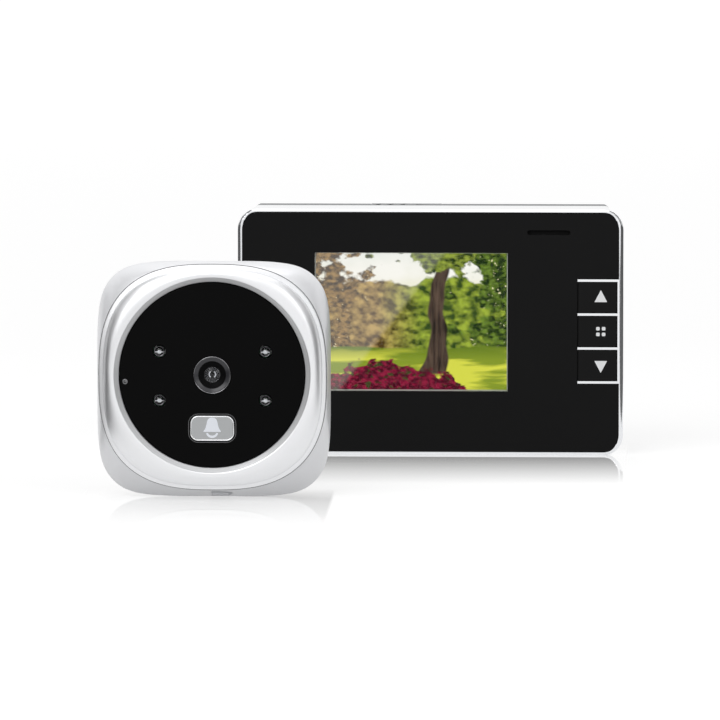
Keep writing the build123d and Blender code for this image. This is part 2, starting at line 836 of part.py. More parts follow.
def make_battery_contacts():
    """A sprung contact on the flat end of each cell and a plain one on its nub."""
    contacts = []
    for index in range(cell_count):
        direction = 1 if index % 2 else -1
        z = cell_centre_z(index)
        plain_x = bay_centre_x + direction * bay_length / 2
        plain_end_x = bay_centre_x + direction * (cell_length / 2 + seat_clearance)
        sprung_x = bay_centre_x - direction * bay_length / 2
        sprung_end_x = bay_centre_x - direction * (cell_length / 2 + seat_clearance)
        contacts.append(contact_plate(plain_x, plain_end_x, z, contact_plain_radius, contact_plain_tip_radius))
        contacts.append(contact_plate(sprung_x, sprung_end_x, z, contact_spring_radius, contact_spring_tip_radius))
    return contacts


def contact_plate(wall_x, end_x, z, root_radius, tip_radius):
    """A plate on the bay's end wall with a cone that reaches the cell."""
    inward = 1 if end_x > wall_x else -1
    plate_x = wall_x + inward * contact_thickness / 2
    plate = Pos(plate_x, cell_y, z) * Box(contact_thickness, contact_width, contact_width)
    cone_start = wall_x + inward * contact_thickness
    reach = abs(end_x - cone_start)
    cone = Rot(0, 90 * inward, 0) * Cone(root_radius, tip_radius, reach)
    return plate + Pos(cone_start + inward * reach / 2, cell_y, z) * cone


def make_camera_socket():
    """Shrouded socket on the pocket's floor, with pins that run down to the main board."""
    floor_y = monitor_rear_y - socket_pocket_depth
    mouth_y = floor_y + socket_depth
    socket = slab(at(socket_x, socket_z, Rectangle(socket_width, socket_height)), floor_y, mouth_y)
    inside = Rectangle(socket_width - 2 * socket_wall, socket_height - 2 * socket_wall)
    socket -= slab(at(socket_x, socket_z, inside), floor_y + socket_floor, mouth_y + overrun)
    for index in range(socket_pin_count):
        x = socket_x + (index - (socket_pin_count - 1) / 2) * socket_pin_pitch
        pin = Rectangle(socket_pin_width, socket_pin_width)
        socket += slab(at(x, socket_z, pin), board_rear_y, floor_y + socket_floor + socket_pin_rise)
    return socket


def make_power_switch():
    """Slide switch body behind the rear plate."""
    body_front_y = rear_plate_y - power_body_depth
    body = slab(at(switch_x, switch_z, Rectangle(power_body_width, power_body_height)), body_front_y, rear_plate_y)
    slot = Rectangle(slider_slot_width(), slider_knob_height + 2 * slider_clearance)
    slot_floor_y = rear_plate_y - slider_knob_root - slider_clearance
    return body - slab(at(switch_x, switch_z, slot), slot_floor_y, rear_plate_y + overrun)


def make_power_slider():
    """Knob of the power switch, at the left end of its slot, with grip ridges."""
    x = switch_x - slider_travel / 2
    front_y = rear_plate_y - slider_knob_root
    rear_y = monitor_rear_y - slider_knob_sunk
    knob = slab(at(x, switch_z, Rectangle(slider_knob_width, slider_knob_height)), front_y, rear_y)
    for index in range(slider_ridge_count):
        groove_x = x + (index - (slider_ridge_count - 1) / 2) * slider_ridge_pitch
        groove = Rectangle(slider_ridge_width, slider_knob_height + 2 * overrun)
        knob -= slab(at(groove_x, switch_z, groove), rear_y - slider_ridge_depth, rear_y + overrun)
    return knob


def make_cover_screws():
    """Four screws that hold the back cover to the frame."""
    seat_y = monitor_rear_y - cover_screw_seat_depth
    return [
        screw(x, z, seat_y, cover_screw_head_radius, cover_screw_head_height, cover_screw_length, 1)
        for x, z in cover_screws()
    ]


def squircle(half_width, half_height, power):
    """A superellipse: a circle at power 2, squarer with a higher power."""
    points = []
    for step in range(OUTLINE_POINTS):
        angle = 2 * pi * step / OUTLINE_POINTS
        across = abs(cos(angle)) / half_width
        up = abs(sin(angle)) / half_height
        reach = (across**power + up**power) ** (-1 / power)
        points.append((reach * cos(angle), reach * sin(angle)))
    return make_face(Spline(*points, periodic=True))


def wall_section(depth_share, inset=0.0):
    """Outline of the unit's wall: squarish at the rear, rounder and higher at the ridge in front."""
    half_width = unit_half_width - ridge_side_inset * depth_share - inset
    half_height = unit_half_height - ridge_height_inset * depth_share - inset
    outline = squircle(half_width, half_height, rear_power + (ridge_power - rear_power) * depth_share)
    return at(0, ridge_rise * depth_share, outline)


def wall_bands(front_y, rear_y, inset=0.0):
    """Sections of the wall between two places along Y."""
    bands = []
    for step in range(WALL_BANDS + 1):
        step_share = step / WALL_BANDS
        y = rear_y + (front_y - rear_y) * step_share
        span = unit_wall_depth - unit_rim_depth
        depth_share = min(max((-y - unit_rim_depth) / span, 0), 1)
        bands.append((y, wall_section(depth_share, inset)))
    return bands


def unit_screws():
    """Places of the four screws that hold the bezel on."""
    return diagonal_places(window_radius + unit_screw_margin)


def unit_posts():
    """Places of the four posts that carry the outdoor unit's board."""
    return diagonal_places(unit_board_radius - unit_post_inset)


def diagonal_places(radius):
    """Four places on the diagonals, at a distance from the middle."""
    spread = radius * cos(radians(45))
    return [(x * spread, z * spread) for x in (-1, 1) for z in (-1, 1)]


def on_face(places):
    """Places on the round face, raised to where the face sits on the housing."""
    return [(x, z + face_rise) for x, z in places]


def make_camera_housing():
    """Outer housing: a lofted wall, open in front, with posts, bosses and the barrel's seat."""
    rim = [(0, wall_section(0, unit_rim_inset))]
    housing = stack(rim + wall_bands(ridge_y, -unit_rim_depth))
    housing -= stack(wall_bands(ridge_y - seat_clearance, -unit_back_wall, unit_wall))
    for x, z in on_face(unit_posts()):
        housing += rod(x, z, unit_post_radius, unit_board_rear_y, -unit_back_wall)
        housing -= rod(x, z, screw_hole_radius, unit_board_rear_y - overrun, -unit_back_wall)
    boss_front_y = ridge_y + bezel_boss_depth
    for x, z in on_face(unit_screws()):
        housing += rod(x, z, housing_boss_radius, boss_front_y, -unit_back_wall)
        housing -= rod(x, z, screw_shank_radius + fit_clearance, boss_front_y - overrun, overrun)
        housing -= rod(x, z, unit_screw_seat_radius, -unit_screw_seat_depth, overrun)
    seat_flats = barrel_flange_flats + 2 * fit_clearance
    seat_front_y = -unit_back_wall - barrel_flange_thickness
    hexagon = hexagon_across(seat_flats + 2 * barrel_socket_wall) - hexagon_across(seat_flats)
    housing += slab(hexagon, seat_front_y, -unit_back_wall)
    housing -= rod(0, 0, barrel_collar_radius + barrel_hole_clearance, -unit_back_wall - overrun, overrun)
    return housing - make_release_notch()


def hexagon_across(flats):
    """A hexagon given its size across flats."""
    return RegularPolygon(flats / 2, 6, major_radius=False)


def make_release_notch():
    """Notch along the slanted bottom wall, where a blade lifts the bezel; its right end is slanted."""
    wall_run = unit_wall_depth - unit_rim_depth
    wall_climb = ridge_height_inset + ridge_rise
    wall = Plane(origin=(0, -unit_rim_depth, -unit_half_height), x_dir=(1, 0, 0), z_dir=(0, -wall_climb, -wall_run))
    outline = Polyline(
        (notch_left, notch_rear),
        (notch_left + notch_length - notch_slant, notch_rear),
        (notch_left + notch_length, (notch_rear + notch_front) / 2),
        (notch_left + notch_length - notch_slant, notch_front),
        (notch_left, notch_front),
        close=True,
    )
    return extrude(wall.offset(-notch_depth) * make_face(outline), amount=notch_depth + overrun)


def make_camera_bezel():
    """Front ring: a lip at the ridge, a cove, a swelling crown and a chamfered throat."""
    edge_w = ridge_half_width - parting_line
    edge_h = ridge_half_height - parting_line
    lip_y = ridge_y - lip_height
    edge = at(0, ridge_rise, squircle(edge_w, edge_h, ridge_power))
    cove_y = lip_y - lip_bevel
    cove = at(0, ridge_rise, squircle(edge_w - lip_bevel, edge_h - lip_bevel, ridge_power))
    sections = [(ridge_y, edge), (lip_y, edge), (cove_y, cove)]
    foot_w = edge_w - cove_width
    foot_h = edge_h - cove_width
    for step in range(CROWN_BANDS + 1):
        angle = pi / 2 * step / CROWN_BANDS
        in_share = 1 - cos(angle)
        half_w = foot_w + (crown_radius - foot_w) * in_share
        half_h = foot_h + (crown_radius - foot_h) * in_share
        power = ridge_power + (2 - ridge_power) * in_share
        rise = ridge_rise + (face_rise - ridge_rise) * in_share
        start_y = cove_y - parting_line
        sections.append((start_y + (crown_y - start_y) * sin(angle), at(0, rise, squircle(half_w, half_h, power))))
    bezel = stack(sections)
    bezel -= Pos(0, 0, face_rise) * make_throat_cut()
    bezel += make_skirt()
    for x, z in on_face(unit_screws()):
        boss_rear_y = ridge_y + bezel_boss_depth - seat_clearance
        bezel += rod(x, z, bezel_boss_radius, ridge_y, boss_rear_y)
        bezel -= rod(x, z, screw_hole_radius, ridge_y, boss_rear_y + overrun)
    pocket_radius = mic_radius + mic_boot_wall + mic_pocket_clearance
    pocket_rear_y = ridge_y + skirt_depth + overrun
    return bezel - rod(mic_x, mic_z + face_rise, pocket_radius, window_rear_y - overrun, pocket_rear_y)


def make_throat_cut():
    """Space inside the ring, from the crown down its chamfer to the window's seat and through."""
    throat_y = crown_y + throat_drop
    land_radius = crown_radius - crown_land
    middle_radius = (land_radius + 2 * throat_radius) / 3
    points = [
        (0, crown_y - overrun),
        (land_radius, crown_y - overrun),
        (land_radius, crown_y),
        (middle_radius, crown_y + throat_drop / 2),
        (throat_radius, throat_y),
        (window_hole_radius, crown_y + chamfer_drop),
        (window_hole_radius, window_rear_y),
        (seat_radius, window_rear_y),
        (seat_radius, ridge_y + overrun),
        (0, ridge_y + overrun),
    ]
    return turned(points)


def make_skirt():
    """Thin skirt behind the ridge that locates the bezel in the housing."""
    inset = unit_wall + skirt_gap + ridge_side_inset / 2
    outer = squircle(ridge_half_width - inset, ridge_half_height - inset, ridge_power)
    inset += skirt_wall
    inner = squircle(ridge_half_width - inset, ridge_half_height - inset, ridge_power)
    return slab(at(0, ridge_rise, outer - inner), ridge_y, ridge_y + skirt_depth)


def bell_outline(grow):
    """The doorbell button's outline, grown all round."""
    return at(0, bell_z, RectangleRounded(bell_width + 2 * grow, bell_height + 2 * grow, bell_corner_radius + grow))


def lamp_places():
    """Places of the four infrared lamps."""
    return [(side * lamp_x, z) for side in (-1, 1) for z in (lamp_z_up, lamp_z_down)]


def make_camera_window():
    """Gloss black disc with holes for the lens, the lamps, the button and the microphone."""
    bevel_y = window_front_y + window_edge_bevel
    window = turned([
        (0, window_front_y),
        (window_radius - window_edge_bevel, window_front_y),
        (window_radius, bevel_y),
        (window_radius, window_rear_y),
        (0, window_rear_y),
    ])
    front = window_front_y - overrun
    rear = window_rear_y + overrun
    window -= rod(0, 0, lens_radius + lens_clearance, front, rear)
    for x, z in lamp_places():
        window -= rod(x, z, lamp_hole_radius, front, rear)
    window -= slab(bell_outline(bell_gap), front, rear)
    window -= rod(mic_x, mic_z, mic_hole_radius, front, rear)
    return window - rod(mic_x, mic_z, mic_ring_radius, front, window_front_y + mic_ring_depth)


def make_lens_barrel():
    """Lens barrel with a rounded front ring and a conical mouth."""
    front_y = window_front_y - lens_proud
    cone_y = front_y + lens_cone_depth
    glass_y = cone_y + lens_glass_thickness
    rear_y = window_front_y + lens_rear_drop
    return turned([
        (lens_cone_radius, front_y),
        (lens_radius - lens_edge_bevel, front_y),
        (lens_radius, front_y + lens_edge_bevel),
        (lens_radius, rear_y),
        (lens_bore_radius, rear_y),
        (lens_bore_radius, glass_y),
        (lens_cone_small_radius + seat_clearance, glass_y),
        (lens_cone_small_radius + seat_clearance, cone_y),
    ])


def make_lens_glass():
    """Front lens element with a domed face."""
    base_y = window_front_y - lens_proud + lens_cone_depth + lens_glass_thickness
    edge_y = base_y - lens_glass_thickness
    tip_y = edge_y - lens_glass_rise
    ball_radius = (lens_cone_small_radius**2 + lens_glass_rise**2) / (2 * lens_glass_rise)
    ball = Pos(0, tip_y + ball_radius, 0) * Sphere(ball_radius)
    return rod(0, 0, lens_cone_small_radius, tip_y - overrun, base_y) & ball


def make_lens_mount():
    """Square foot on the board with a collar that holds the barrel."""
    foot_front_y = unit_board_front_y - lens_mount_base_height
    collar_front_y = unit_board_front_y - lens_mount_height
    mount = slab(Rectangle(lens_mount_size, lens_mount_size), foot_front_y, unit_board_front_y)
    mount += rod(0, 0, lens_mount_collar_radius, collar_front_y, foot_front_y)
    bore_radius = lens_radius + seat_clearance
    rear_stop_y = window_front_y + lens_rear_drop
    mount -= rod(0, 0, bore_radius, collar_front_y - overrun, rear_stop_y)
    window = Rectangle(sensor_size + 2 * fit_clearance, sensor_size + 2 * fit_clearance)
    return mount - slab(window, rear_stop_y - overrun, unit_board_front_y + overrun)


def make_image_sensor():
    """Image sensor on the board under the lens."""
    sensor = Rectangle(sensor_size, sensor_size)
    return slab(sensor, unit_board_front_y - sensor_height, unit_board_front_y)


def make_infrared_lamps():
    """Four clear lamps with domed tips, standing on the board behind their holes."""
    tip_y = window_front_y + lamp_sunk
    flange_y = unit_board_front_y - lamp_flange_height
    shoulder_y = tip_y + lamp_radius
    profile = Polyline(
        (0, tip_y),
        (0, unit_board_front_y),
        (lamp_flange_radius, unit_board_front_y),
        (lamp_flange_radius, flange_y),
        (lamp_radius, flange_y),
        (lamp_radius, shoulder_y),
    )
    tip = ThreePointArc(
        (lamp_radius, shoulder_y),
        (lamp_radius * cos(radians(45)), shoulder_y - lamp_radius * sin(radians(45))),
        (0, tip_y),
    )
    lamp = revolve(make_face(Curve() + [profile, tip]), axis=Axis.Y)
    return [Pos(x, 0, z) * lamp for x, z in lamp_places()]


def make_doorbell_button():
    """Push button with a bevelled rim, a flange behind the window and a plunger."""
    front_y = window_front_y - bell_proud
    bevel_y = front_y + bell_edge_bevel
    flange_front_y = window_rear_y + seat_clearance
    flange_rear_y = flange_front_y + bell_flange_thickness
    button = stack([(front_y, bell_outline(-bell_edge_bevel)), (bevel_y, bell_outline(0)), (flange_front_y, bell_outline(0))])
    button += slab(bell_outline(bell_flange), flange_front_y, flange_rear_y)
    stem_y = unit_board_front_y - bell_switch_height - bell_switch_stem_height
    return button + rod(0, bell_z, bell_plunger_radius, flange_rear_y, stem_y - bell_travel - press_clearance)


def make_doorbell_switch():
    """Push switch on the board behind the doorbell button."""
    body_front_y = unit_board_front_y - bell_switch_height
    body = slab(at(0, bell_z, Rectangle(bell_switch_size, bell_switch_size)), body_front_y, unit_board_front_y)
    return body + rod(0, bell_z, bell_switch_stem_radius, body_front_y - bell_switch_stem_height, body_front_y)


def make_microphone():
    """Microphone capsule just behind its hole in the window."""
    front_y = window_rear_y + mic_boot_wall
    return rod(mic_x, mic_z, mic_radius, front_y, front_y + mic_length)


def make_microphone_boot():
    """Rubber boot round the capsule, pressed between the window and the bezel's pocket."""
    outer = mic_radius + mic_boot_wall
    boot = rod(mic_x, mic_z, outer, window_rear_y, window_rear_y + mic_boot_length)
    boot -= rod(mic_x, mic_z, mic_radius, window_rear_y + mic_boot_wall, window_rear_y + mic_boot_length + overrun)
    return boot - rod(mic_x, mic_z, mic_ring_radius, window_rear_y - overrun, window_rear_y + overrun)


def make_camera_board():
    """Round circuit board of the outdoor unit."""
    board = rod(0, 0, unit_board_radius, unit_board_front_y, unit_board_rear_y)
    for x, z in unit_posts():
        board -= rod(x, z, screw_shank_radius + fit_clearance, unit_board_front_y - overrun, unit_board_rear_y + overrun)
    return board


def make_camera_board_screws():
    """Four screws that hold the round board on its posts."""
    return [
        screw(x, z, unit_board_front_y, board_screw_head_radius, board_screw_head_height, unit_board_screw_length, -1)
        for x, z in unit_posts()
    ]


def make_lead_socket():
    """Flat lead socket behind the board, over the barrel's bore."""
    socket = Rectangle(lead_socket_width, lead_socket_height)
    return slab(socket, unit_board_rear_y, unit_board_rear_y + lead_socket_depth)


def make_threaded_barrel():
    """Hollow barrel through the door, with a hexagonal flange inside the housing and a collar in its wall."""
    flange_front_y = -unit_back_wall - barrel_flange_thickness
    barrel = slab(hexagon_across(barrel_flange_flats), flange_front_y, -unit_back_wall)
    barrel += turned([
        (0, -unit_back_wall),
        (barrel_collar_radius, -unit_back_wall),
        (barrel_collar_radius, gasket_thickness),
        (barrel_radius, gasket_thickness),
        (barrel_radius, barrel_length - barrel_end_bevel),
        (barrel_radius - barrel_end_bevel, barrel_length),
        (0, barrel_length),
    ])
    return barrel - rod(0, 0, barrel_bore_radius, flange_front_y - overrun, barrel_length + overrun)


def make_door_gasket():
    """Foam gasket between the housing and the door, with holes for the barrel and the screws."""
    face = wall_section(0, gasket_inset) - Circle(gasket_bore_radius)
    for x, z in on_face(unit_screws()):
        face -= at(x, z, Circle(gasket_screw_hole_radius))
    return slab(face, 0, gasket_thickness)


def make_housing_screws():
    """Four screws from the back of the housing into the bezel's bosses."""
    seat_y = -unit_screw_seat_depth
    return [
        screw(x, z, seat_y, unit_screw_head_radius, unit_screw_head_height, unit_screw_length, 1)
        for x, z in on_face(unit_screws())
    ]


def monitor_parts():
    """Every piece of the indoor monitor, by node name."""
    parts = {
        "monitor_frame": make_monitor_frame(),
        "front_panel": make_front_panel(),
        "screen_window": make_screen_window(),
        "lcd_panel": make_lcd_panel(),
        "lcd_backlight": make_lcd_backlight(),
        "lcd_foam_strips": make_lcd_foam(),
        "key_switches": make_key_switches(),
        "main_board": make_main_board(),
        "main_board_screws": make_board_screws(),
        "speaker": make_speaker(),
        "back_cover": make_back_cover(),
        "battery_cover": make_battery_cover(),
        "battery_cells": make_battery_cells(),
        "battery_contacts": make_battery_contacts(),
        "camera_lead_socket": make_camera_socket(),
        "power_switch": make_power_switch(),
        "power_slider": make_power_slider(),
        "back_cover_screws": make_cover_screws(),
    }
    for index, name in enumerate(KEY_NAMES):
        parts["key_" + name] = make_key(index)
    return parts


def housing_parts():
    """The outdoor unit's pieces that are drawn about the middle of its back."""
    return {
        "camera_housing": make_camera_housing(),
        "camera_bezel": make_camera_bezel(),
        "threaded_barrel": make_threaded_barrel(),
        "door_gasket": make_door_gasket(),
        "housing_screws": make_housing_screws(),
    }


def face_parts():
    """The outdoor unit's pieces that are drawn about the middle of its round face."""
    return {
        "camera_window": make_camera_window(),
        "lens_barrel": make_lens_barrel(),
        "lens_glass": make_lens_glass(),
        "lens_mount": make_lens_mount(),
        "image_sensor": make_image_sensor(),
        "infrared_lamps": make_infrared_lamps(),
        "doorbell_button": make_doorbell_button(),
        "doorbell_switch": make_doorbell_switch(),
        "microphone": make_microphone(),
        "microphone_boot": make_microphone_boot(),
        "camera_board": make_camera_board(),
        "camera_board_screws": make_camera_board_screws(),
        "camera_board_socket": make_lead_socket(),
    }


def stood(parts, rise):
    """The outdoor unit's pieces stood in their place, raised over the middle of its back."""
    place = Pos(unit_x, unit_back_y, unit_half_height + rise)
    placed = {}
    for name, shape in parts.items():
        if isinstance(shape, list):
            placed[name] = [place * piece for piece in shape]
        else:
            placed[name] = place * shape
    return placed


def write_parts():
    """Write one STEP file for each node."""
    os.makedirs("parts", exist_ok=True)
    outdoor_unit = {**stood(housing_parts(), 0), **stood(face_parts(), face_rise)}
    for name, shape in {**monitor_parts(), **outdoor_unit}.items():
        solids = shape if isinstance(shape, list) else [shape]
        bodies = [body for piece in solids for body in piece.solids()]
        export_step(Compound(bodies) if len(bodies) > 1 else bodies[0], "parts/" + name + ".step")


write_parts()
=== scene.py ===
"""Looks of the peephole door camera: an outdoor camera unit in front of its indoor monitor.

Metres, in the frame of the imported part: +X right, the fronts face -Y, +Z up.
Sizes inside the classes are in millimetres, as on a drawing, and `MM` turns them into metres.
"""

import logging
import math
from dataclasses import dataclass
from enum import Enum
from typing import Callable, Sequence

import bmesh
import bpy
from mathutils import Matrix, Vector


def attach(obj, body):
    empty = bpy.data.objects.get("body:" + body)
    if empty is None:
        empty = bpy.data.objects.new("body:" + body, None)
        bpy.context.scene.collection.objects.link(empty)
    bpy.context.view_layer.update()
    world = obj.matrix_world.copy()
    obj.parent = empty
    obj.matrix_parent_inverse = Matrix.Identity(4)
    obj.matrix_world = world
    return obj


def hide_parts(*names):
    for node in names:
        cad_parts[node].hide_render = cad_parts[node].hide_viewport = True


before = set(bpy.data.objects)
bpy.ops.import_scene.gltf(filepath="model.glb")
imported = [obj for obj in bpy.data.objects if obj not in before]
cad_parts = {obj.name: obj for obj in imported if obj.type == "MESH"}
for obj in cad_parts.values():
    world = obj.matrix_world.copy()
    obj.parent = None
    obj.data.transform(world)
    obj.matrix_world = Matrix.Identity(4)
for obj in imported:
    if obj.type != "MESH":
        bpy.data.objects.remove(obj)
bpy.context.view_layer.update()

MM = 0.001
LOG = logging.getLogger("door_camera")

Point2 = tuple[float, float]
Colour = tuple[float, float, float]
Socket = bpy.types.NodeSocket
WHITE: Colour = (1.0, 1.0, 1.0)
MERGE = 2e-6
FLAT_FACE_WEIGHT = 90
FLAT_WITHIN = math.radians(0.4)


class Carrier(Enum):
    """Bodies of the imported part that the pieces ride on."""

    HOUSINGS = "housings"
    BELL = "doorbell_button"
    KEY_DOWN = "key_down"
    KEY_MENU = "key_menu"
    KEY_UP = "key_up"
    BATTERY_COVER = "battery_cover"
    SLIDER = "power_slider"


class KeySign(Enum):
    """Signs on the monitor's keys."""

    DOWN = "down"
    MENU = "menu"
    UP = "up"


# Finishes


class Graph:
    """A node tree, with short calls for the nodes that the finishes and the studio use."""

    def __init__(self, name: str, world: bool = False) -> None:
        """Make a material or a world with its one shader.

        Args:
            name: its name.
            world: True for a world, False for a material.
        """
        self.owner = (bpy.data.worlds if world else bpy.data.materials).new(name)
        self.owner.use_nodes = True
        self.nodes = self.owner.node_tree.nodes
        self.links = self.owner.node_tree.links
        self.shader = self.first("BACKGROUND" if world else "BSDF_PRINCIPLED")

    def first(self, kind: str) -> bpy.types.Node:
        """The first node of a type."""
        return next(n for n in self.nodes if n.type == kind)

    def node(self, kind: str, *values: object, **settings: object) -> bpy.types.Node:
        """Add a node, set its plain attributes and feed its first inputs.

        Args:
            kind: Blender's node type.
            values: sockets or plain values for its first inputs, in their order.
            settings: attribute names and their values.

        Returns:
            The new node.
        """
        made = self.nodes.new(kind)
        for name, value in settings.items():
            setattr(made, name, value)
        for value, socket in zip(values, made.inputs):
            self.feed(value, socket)
        return made

    def feed(self, value: object, socket: Socket) -> None:
        """Link a socket to an input, or set a plain value on it."""
        if isinstance(value, bpy.types.NodeSocket):
            self.links.new(value, socket)
        else:
            socket.default_value = value

    def place(self, scale: Sequence[float] = (1, 1, 1), shift: Sequence[float] = (0, 0, 0)) -> Socket:
        """Object coordinates, scaled and then shifted."""
        coords = self.node("ShaderNodeTexCoord")
        mapping = self.node("ShaderNodeMapping", coords.outputs["Object"])
        mapping.inputs["Scale"].default_value = scale
        mapping.inputs["Location"].default_value = shift
        return mapping.outputs["Vector"]

    def split(self, where: Socket) -> Sequence[Socket]:
        """The X, Y and Z of a place."""
        return self.node("ShaderNodeSeparateXYZ", where).outputs

    def length(self, where: Socket) -> Socket:
        """How far a place is from the origin."""
        return self.node("ShaderNodeVectorMath", where, operation="LENGTH").outputs["Value"]

    def noise(self, where: Socket, scale: float, detail: float = 3.0) -> Socket:
        """A noise factor from 0 to 1."""
        made = self.node("ShaderNodeTexNoise", where)
        made.inputs["Scale"].default_value = scale
        made.inputs["Detail"].default_value = detail
        return made.outputs["Fac"]

    def spread(self, value: object, low: float, high: float, out_low: float = 0.0, out_high: float = 1.0) -> Socket:
        """A factor moved from one range to another, and held inside it."""
        made = self.node("ShaderNodeMapRange", value)
        for name, number in (("From Min", low), ("From Max", high), ("To Min", out_low), ("To Max", out_high)):
            made.inputs[name].default_value = number
        return made.outputs["Result"]

    def sum(self, kind: str, first: object, second: object) -> Socket:
        """One arithmetic step, such as ADD or MULTIPLY."""
        return self.node("ShaderNodeMath", first, second, operation=kind).outputs[0]

    def away(self, value: Socket, middle: object) -> Socket:
        """How far a value is from a middle, on either side."""
        return self.sum("ABSOLUTE", self.sum("SUBTRACT", value, middle), 0.0)

    def blend(self, factor: object, first: Socket | Colour, second: Socket | Colour) -> Socket:
        """Two colours mixed by a factor."""
        made = self.node("ShaderNodeMix", factor, data_type="RGBA")
        for colour, socket in ((first, made.inputs[6]), (second, made.inputs[7])):
            self.feed(rgba(colour) if isinstance(colour, tuple) else colour, socket)
        return made.outputs[2]

    def bump(self, height: Socket, depth: float) -> None:
        """Relief on the whole surface, its depth in metres."""
        made = self.node("ShaderNodeBump")
        made.inputs["Strength"].default_value = 1.0
        made.inputs["Distance"].default_value = depth
        self.feed(height, made.inputs["Height"])
        self.feed(made.outputs["Normal"], self.shader.inputs["Normal"])

    def seen(self) -> Socket:
        """1 for rays from the camera, from mirrors and through glass."""
        path = self.node("ShaderNodeLightPath").outputs
        seen = self.sum("MAXIMUM", path["Is Camera Ray"], path["Is Glossy Ray"])
        return self.sum("MAXIMUM", seen, path["Is Transmission Ray"])

    def set(self, **values: object) -> None:
        """Set or link the shader's sockets, named with underscores for spaces."""
        for name, value in values.items():
            self.feed(value, self.shader.inputs[name.replace("_", " ")])

    def show(self, factor: object, first: Socket, second: Socket) -> None:
        """Let a mix of two shaders be the material's surface."""
        mixed = self.node("ShaderNodeMixShader", factor, first, second)
        self.feed(mixed.outputs[0], self.first("OUTPUT_MATERIAL").inputs["Surface"])


def rgba(colour: Colour) -> tuple[float, float, float, float]:
    """A colour with full opacity."""
    return (*colour, 1.0)


class Surface:
    """A look that becomes a material when it is first used."""

    name: str

    def material(self) -> bpy.types.Material:
        """The look as a material, made once."""
        known = bpy.data.materials.get(self.name)
        if known:
            return known
        graph = Graph(self.name)
        self.paint(graph)
        return graph.owner

    def paint(self, graph: Graph) -> None:
        """Set the material's nodes."""
        raise NotImplementedError


@dataclass(frozen=True)
class Finish(Surface):
    """A moulded, painted or metal surface: its colour wanders a little and its polish isn't even."""

    name: str
    colour: Colour
    roughness: float
    metallic: float = 0.0
    wander: float = 0.05
    wander_scale: float = 60.0
    polish_wander: float = 0.06
    polish_least: float = 0.004
    polish_finer: float = 7.0
    grain: float = 0.0
    grain_scale: float = 1500.0
    specular: float = 0.5
    coat: float = 0.0
    coat_roughness: float = 0.05
    stretch: tuple[float, float, float] = (1.0, 1.0, 1.0)

    def paint(self, graph: Graph) -> None:
        """Colour, polish and grain."""
        where = graph.place(self.stretch)
        dark = tuple(c * (1 - self.wander) for c in self.colour)
        light = tuple(min(1.0, c * (1 + self.wander)) for c in self.colour)
        plain = graph.blend(graph.noise(where, self.wander_scale), dark, light)
        graph.set(Base_Color=self.colour_of(graph, plain))
        low = max(0.0, self.roughness * (1 - self.polish_wander))
        high = min(1.0, self.roughness * (1 + self.polish_wander) + self.polish_least)
        fine = graph.noise(where, self.wander_scale * self.polish_finer, 4.0)
        graph.set(Roughness=graph.spread(fine, 0.3, 0.7, low, high))
        if not graph.shader.inputs["Metallic"].is_linked:
            graph.set(Metallic=self.metallic)
        graph.set(Specular_IOR_Level=self.specular)
        graph.set(Coat_Weight=self.coat, Coat_Roughness=self.coat_roughness)
        if self.grain > 0:
            graph.bump(graph.noise(where, self.grain_scale, 2.0), self.grain * MM)

    def colour_of(self, graph: Graph, plain: Socket) -> Socket:
        """The surface's colour; a finish with a pattern changes it here."""
        return plain


@dataclass(frozen=True)
class ShadedThroatFinish(Finish):
    """A bezel's finish whose throat, the chamfer inside a circle about Y, is painted a darker grey and made less
    metallic; the darker grey is painted shade on the chamfer.
    """

    centre: Point2 = (0.0, 0.0)
    radius: float = 28.0
    soft_edge: float = 0.05
    # painted shade: the throat's darker grey stands in for the shade on the chamfer
    throat: Colour = (0.5, 0.5, 0.5)
    throat_metal: float = 0.3

    def colour_of(self, graph: Graph, plain: Socket) -> Socket:
        """The plain colour outside the circle, and the throat's darker grey, a painted shade, inside it."""
        flat = graph.place((1, 0, 1), (-self.centre[0] * MM, 0.0, -self.centre[1] * MM))
        start, end = (self.radius - self.soft_edge) * MM, (self.radius + self.soft_edge) * MM
        inside = graph.spread(graph.length(flat), start, end, 1.0, 0.0)
        graph.set(Metallic=graph.spread(inside, 0.0, 1.0, self.metallic, self.throat_metal))
        return graph.blend(inside, plain, self.throat)


@dataclass(frozen=True)
class ClearFinish(Surface):
    """Clear plastic or glass, with faint flow lines in its surface."""

    name: str
    tint: Colour
    ior: float
    tint_wander: float = 0.03
    ripple: float = 0.0006

    def paint(self, graph: Graph) -> None:
        """Tint, refraction and ripples."""
        where = graph.place()
        dark = tuple(c * (1 - self.tint_wander) for c in self.tint)
        graph.set(Base_Color=graph.blend(graph.noise(where, 40.0), dark, self.tint))
        graph.set(Roughness=0.0, IOR=self.ior, Transmission_Weight=1.0)
        graph.bump(graph.noise(where, 120.0, 1.0), self.ripple * MM)


@dataclass(frozen=True)
class ParkPicture(Surface):
    """The display's picture: a sunlit park with trees, a lawn and a bed of flowers."""

    name: str = "display_picture"
    left: float = -34.5
    bottom: float = 18.9
    width: float = 57.5
    height: float = 41.4

    def paint(self, graph: Graph) -> None:
        """Lay the park's layers over each other, and let the picture glow in the display's own place."""
        scale = (1 / (self.width * MM), 1.0, 1 / (self.height * MM))
        park = Park(graph, scale, (-self.left / self.width, 0.0, -self.bottom / self.height))
        picture = park.sky()
        for layer in (
            park.far_trees, park.near_trees, park.lawn, park.trunk, park.canopy, park.flower_bed, park.haze
        ):
            picture = layer(picture)
        graph.set(Base_Color=rgba((0.01, 0.01, 0.01)), Roughness=0.25, Specular_IOR_Level=0.05)
        graph.set(Emission_Color=picture, Emission_Strength=1.0)


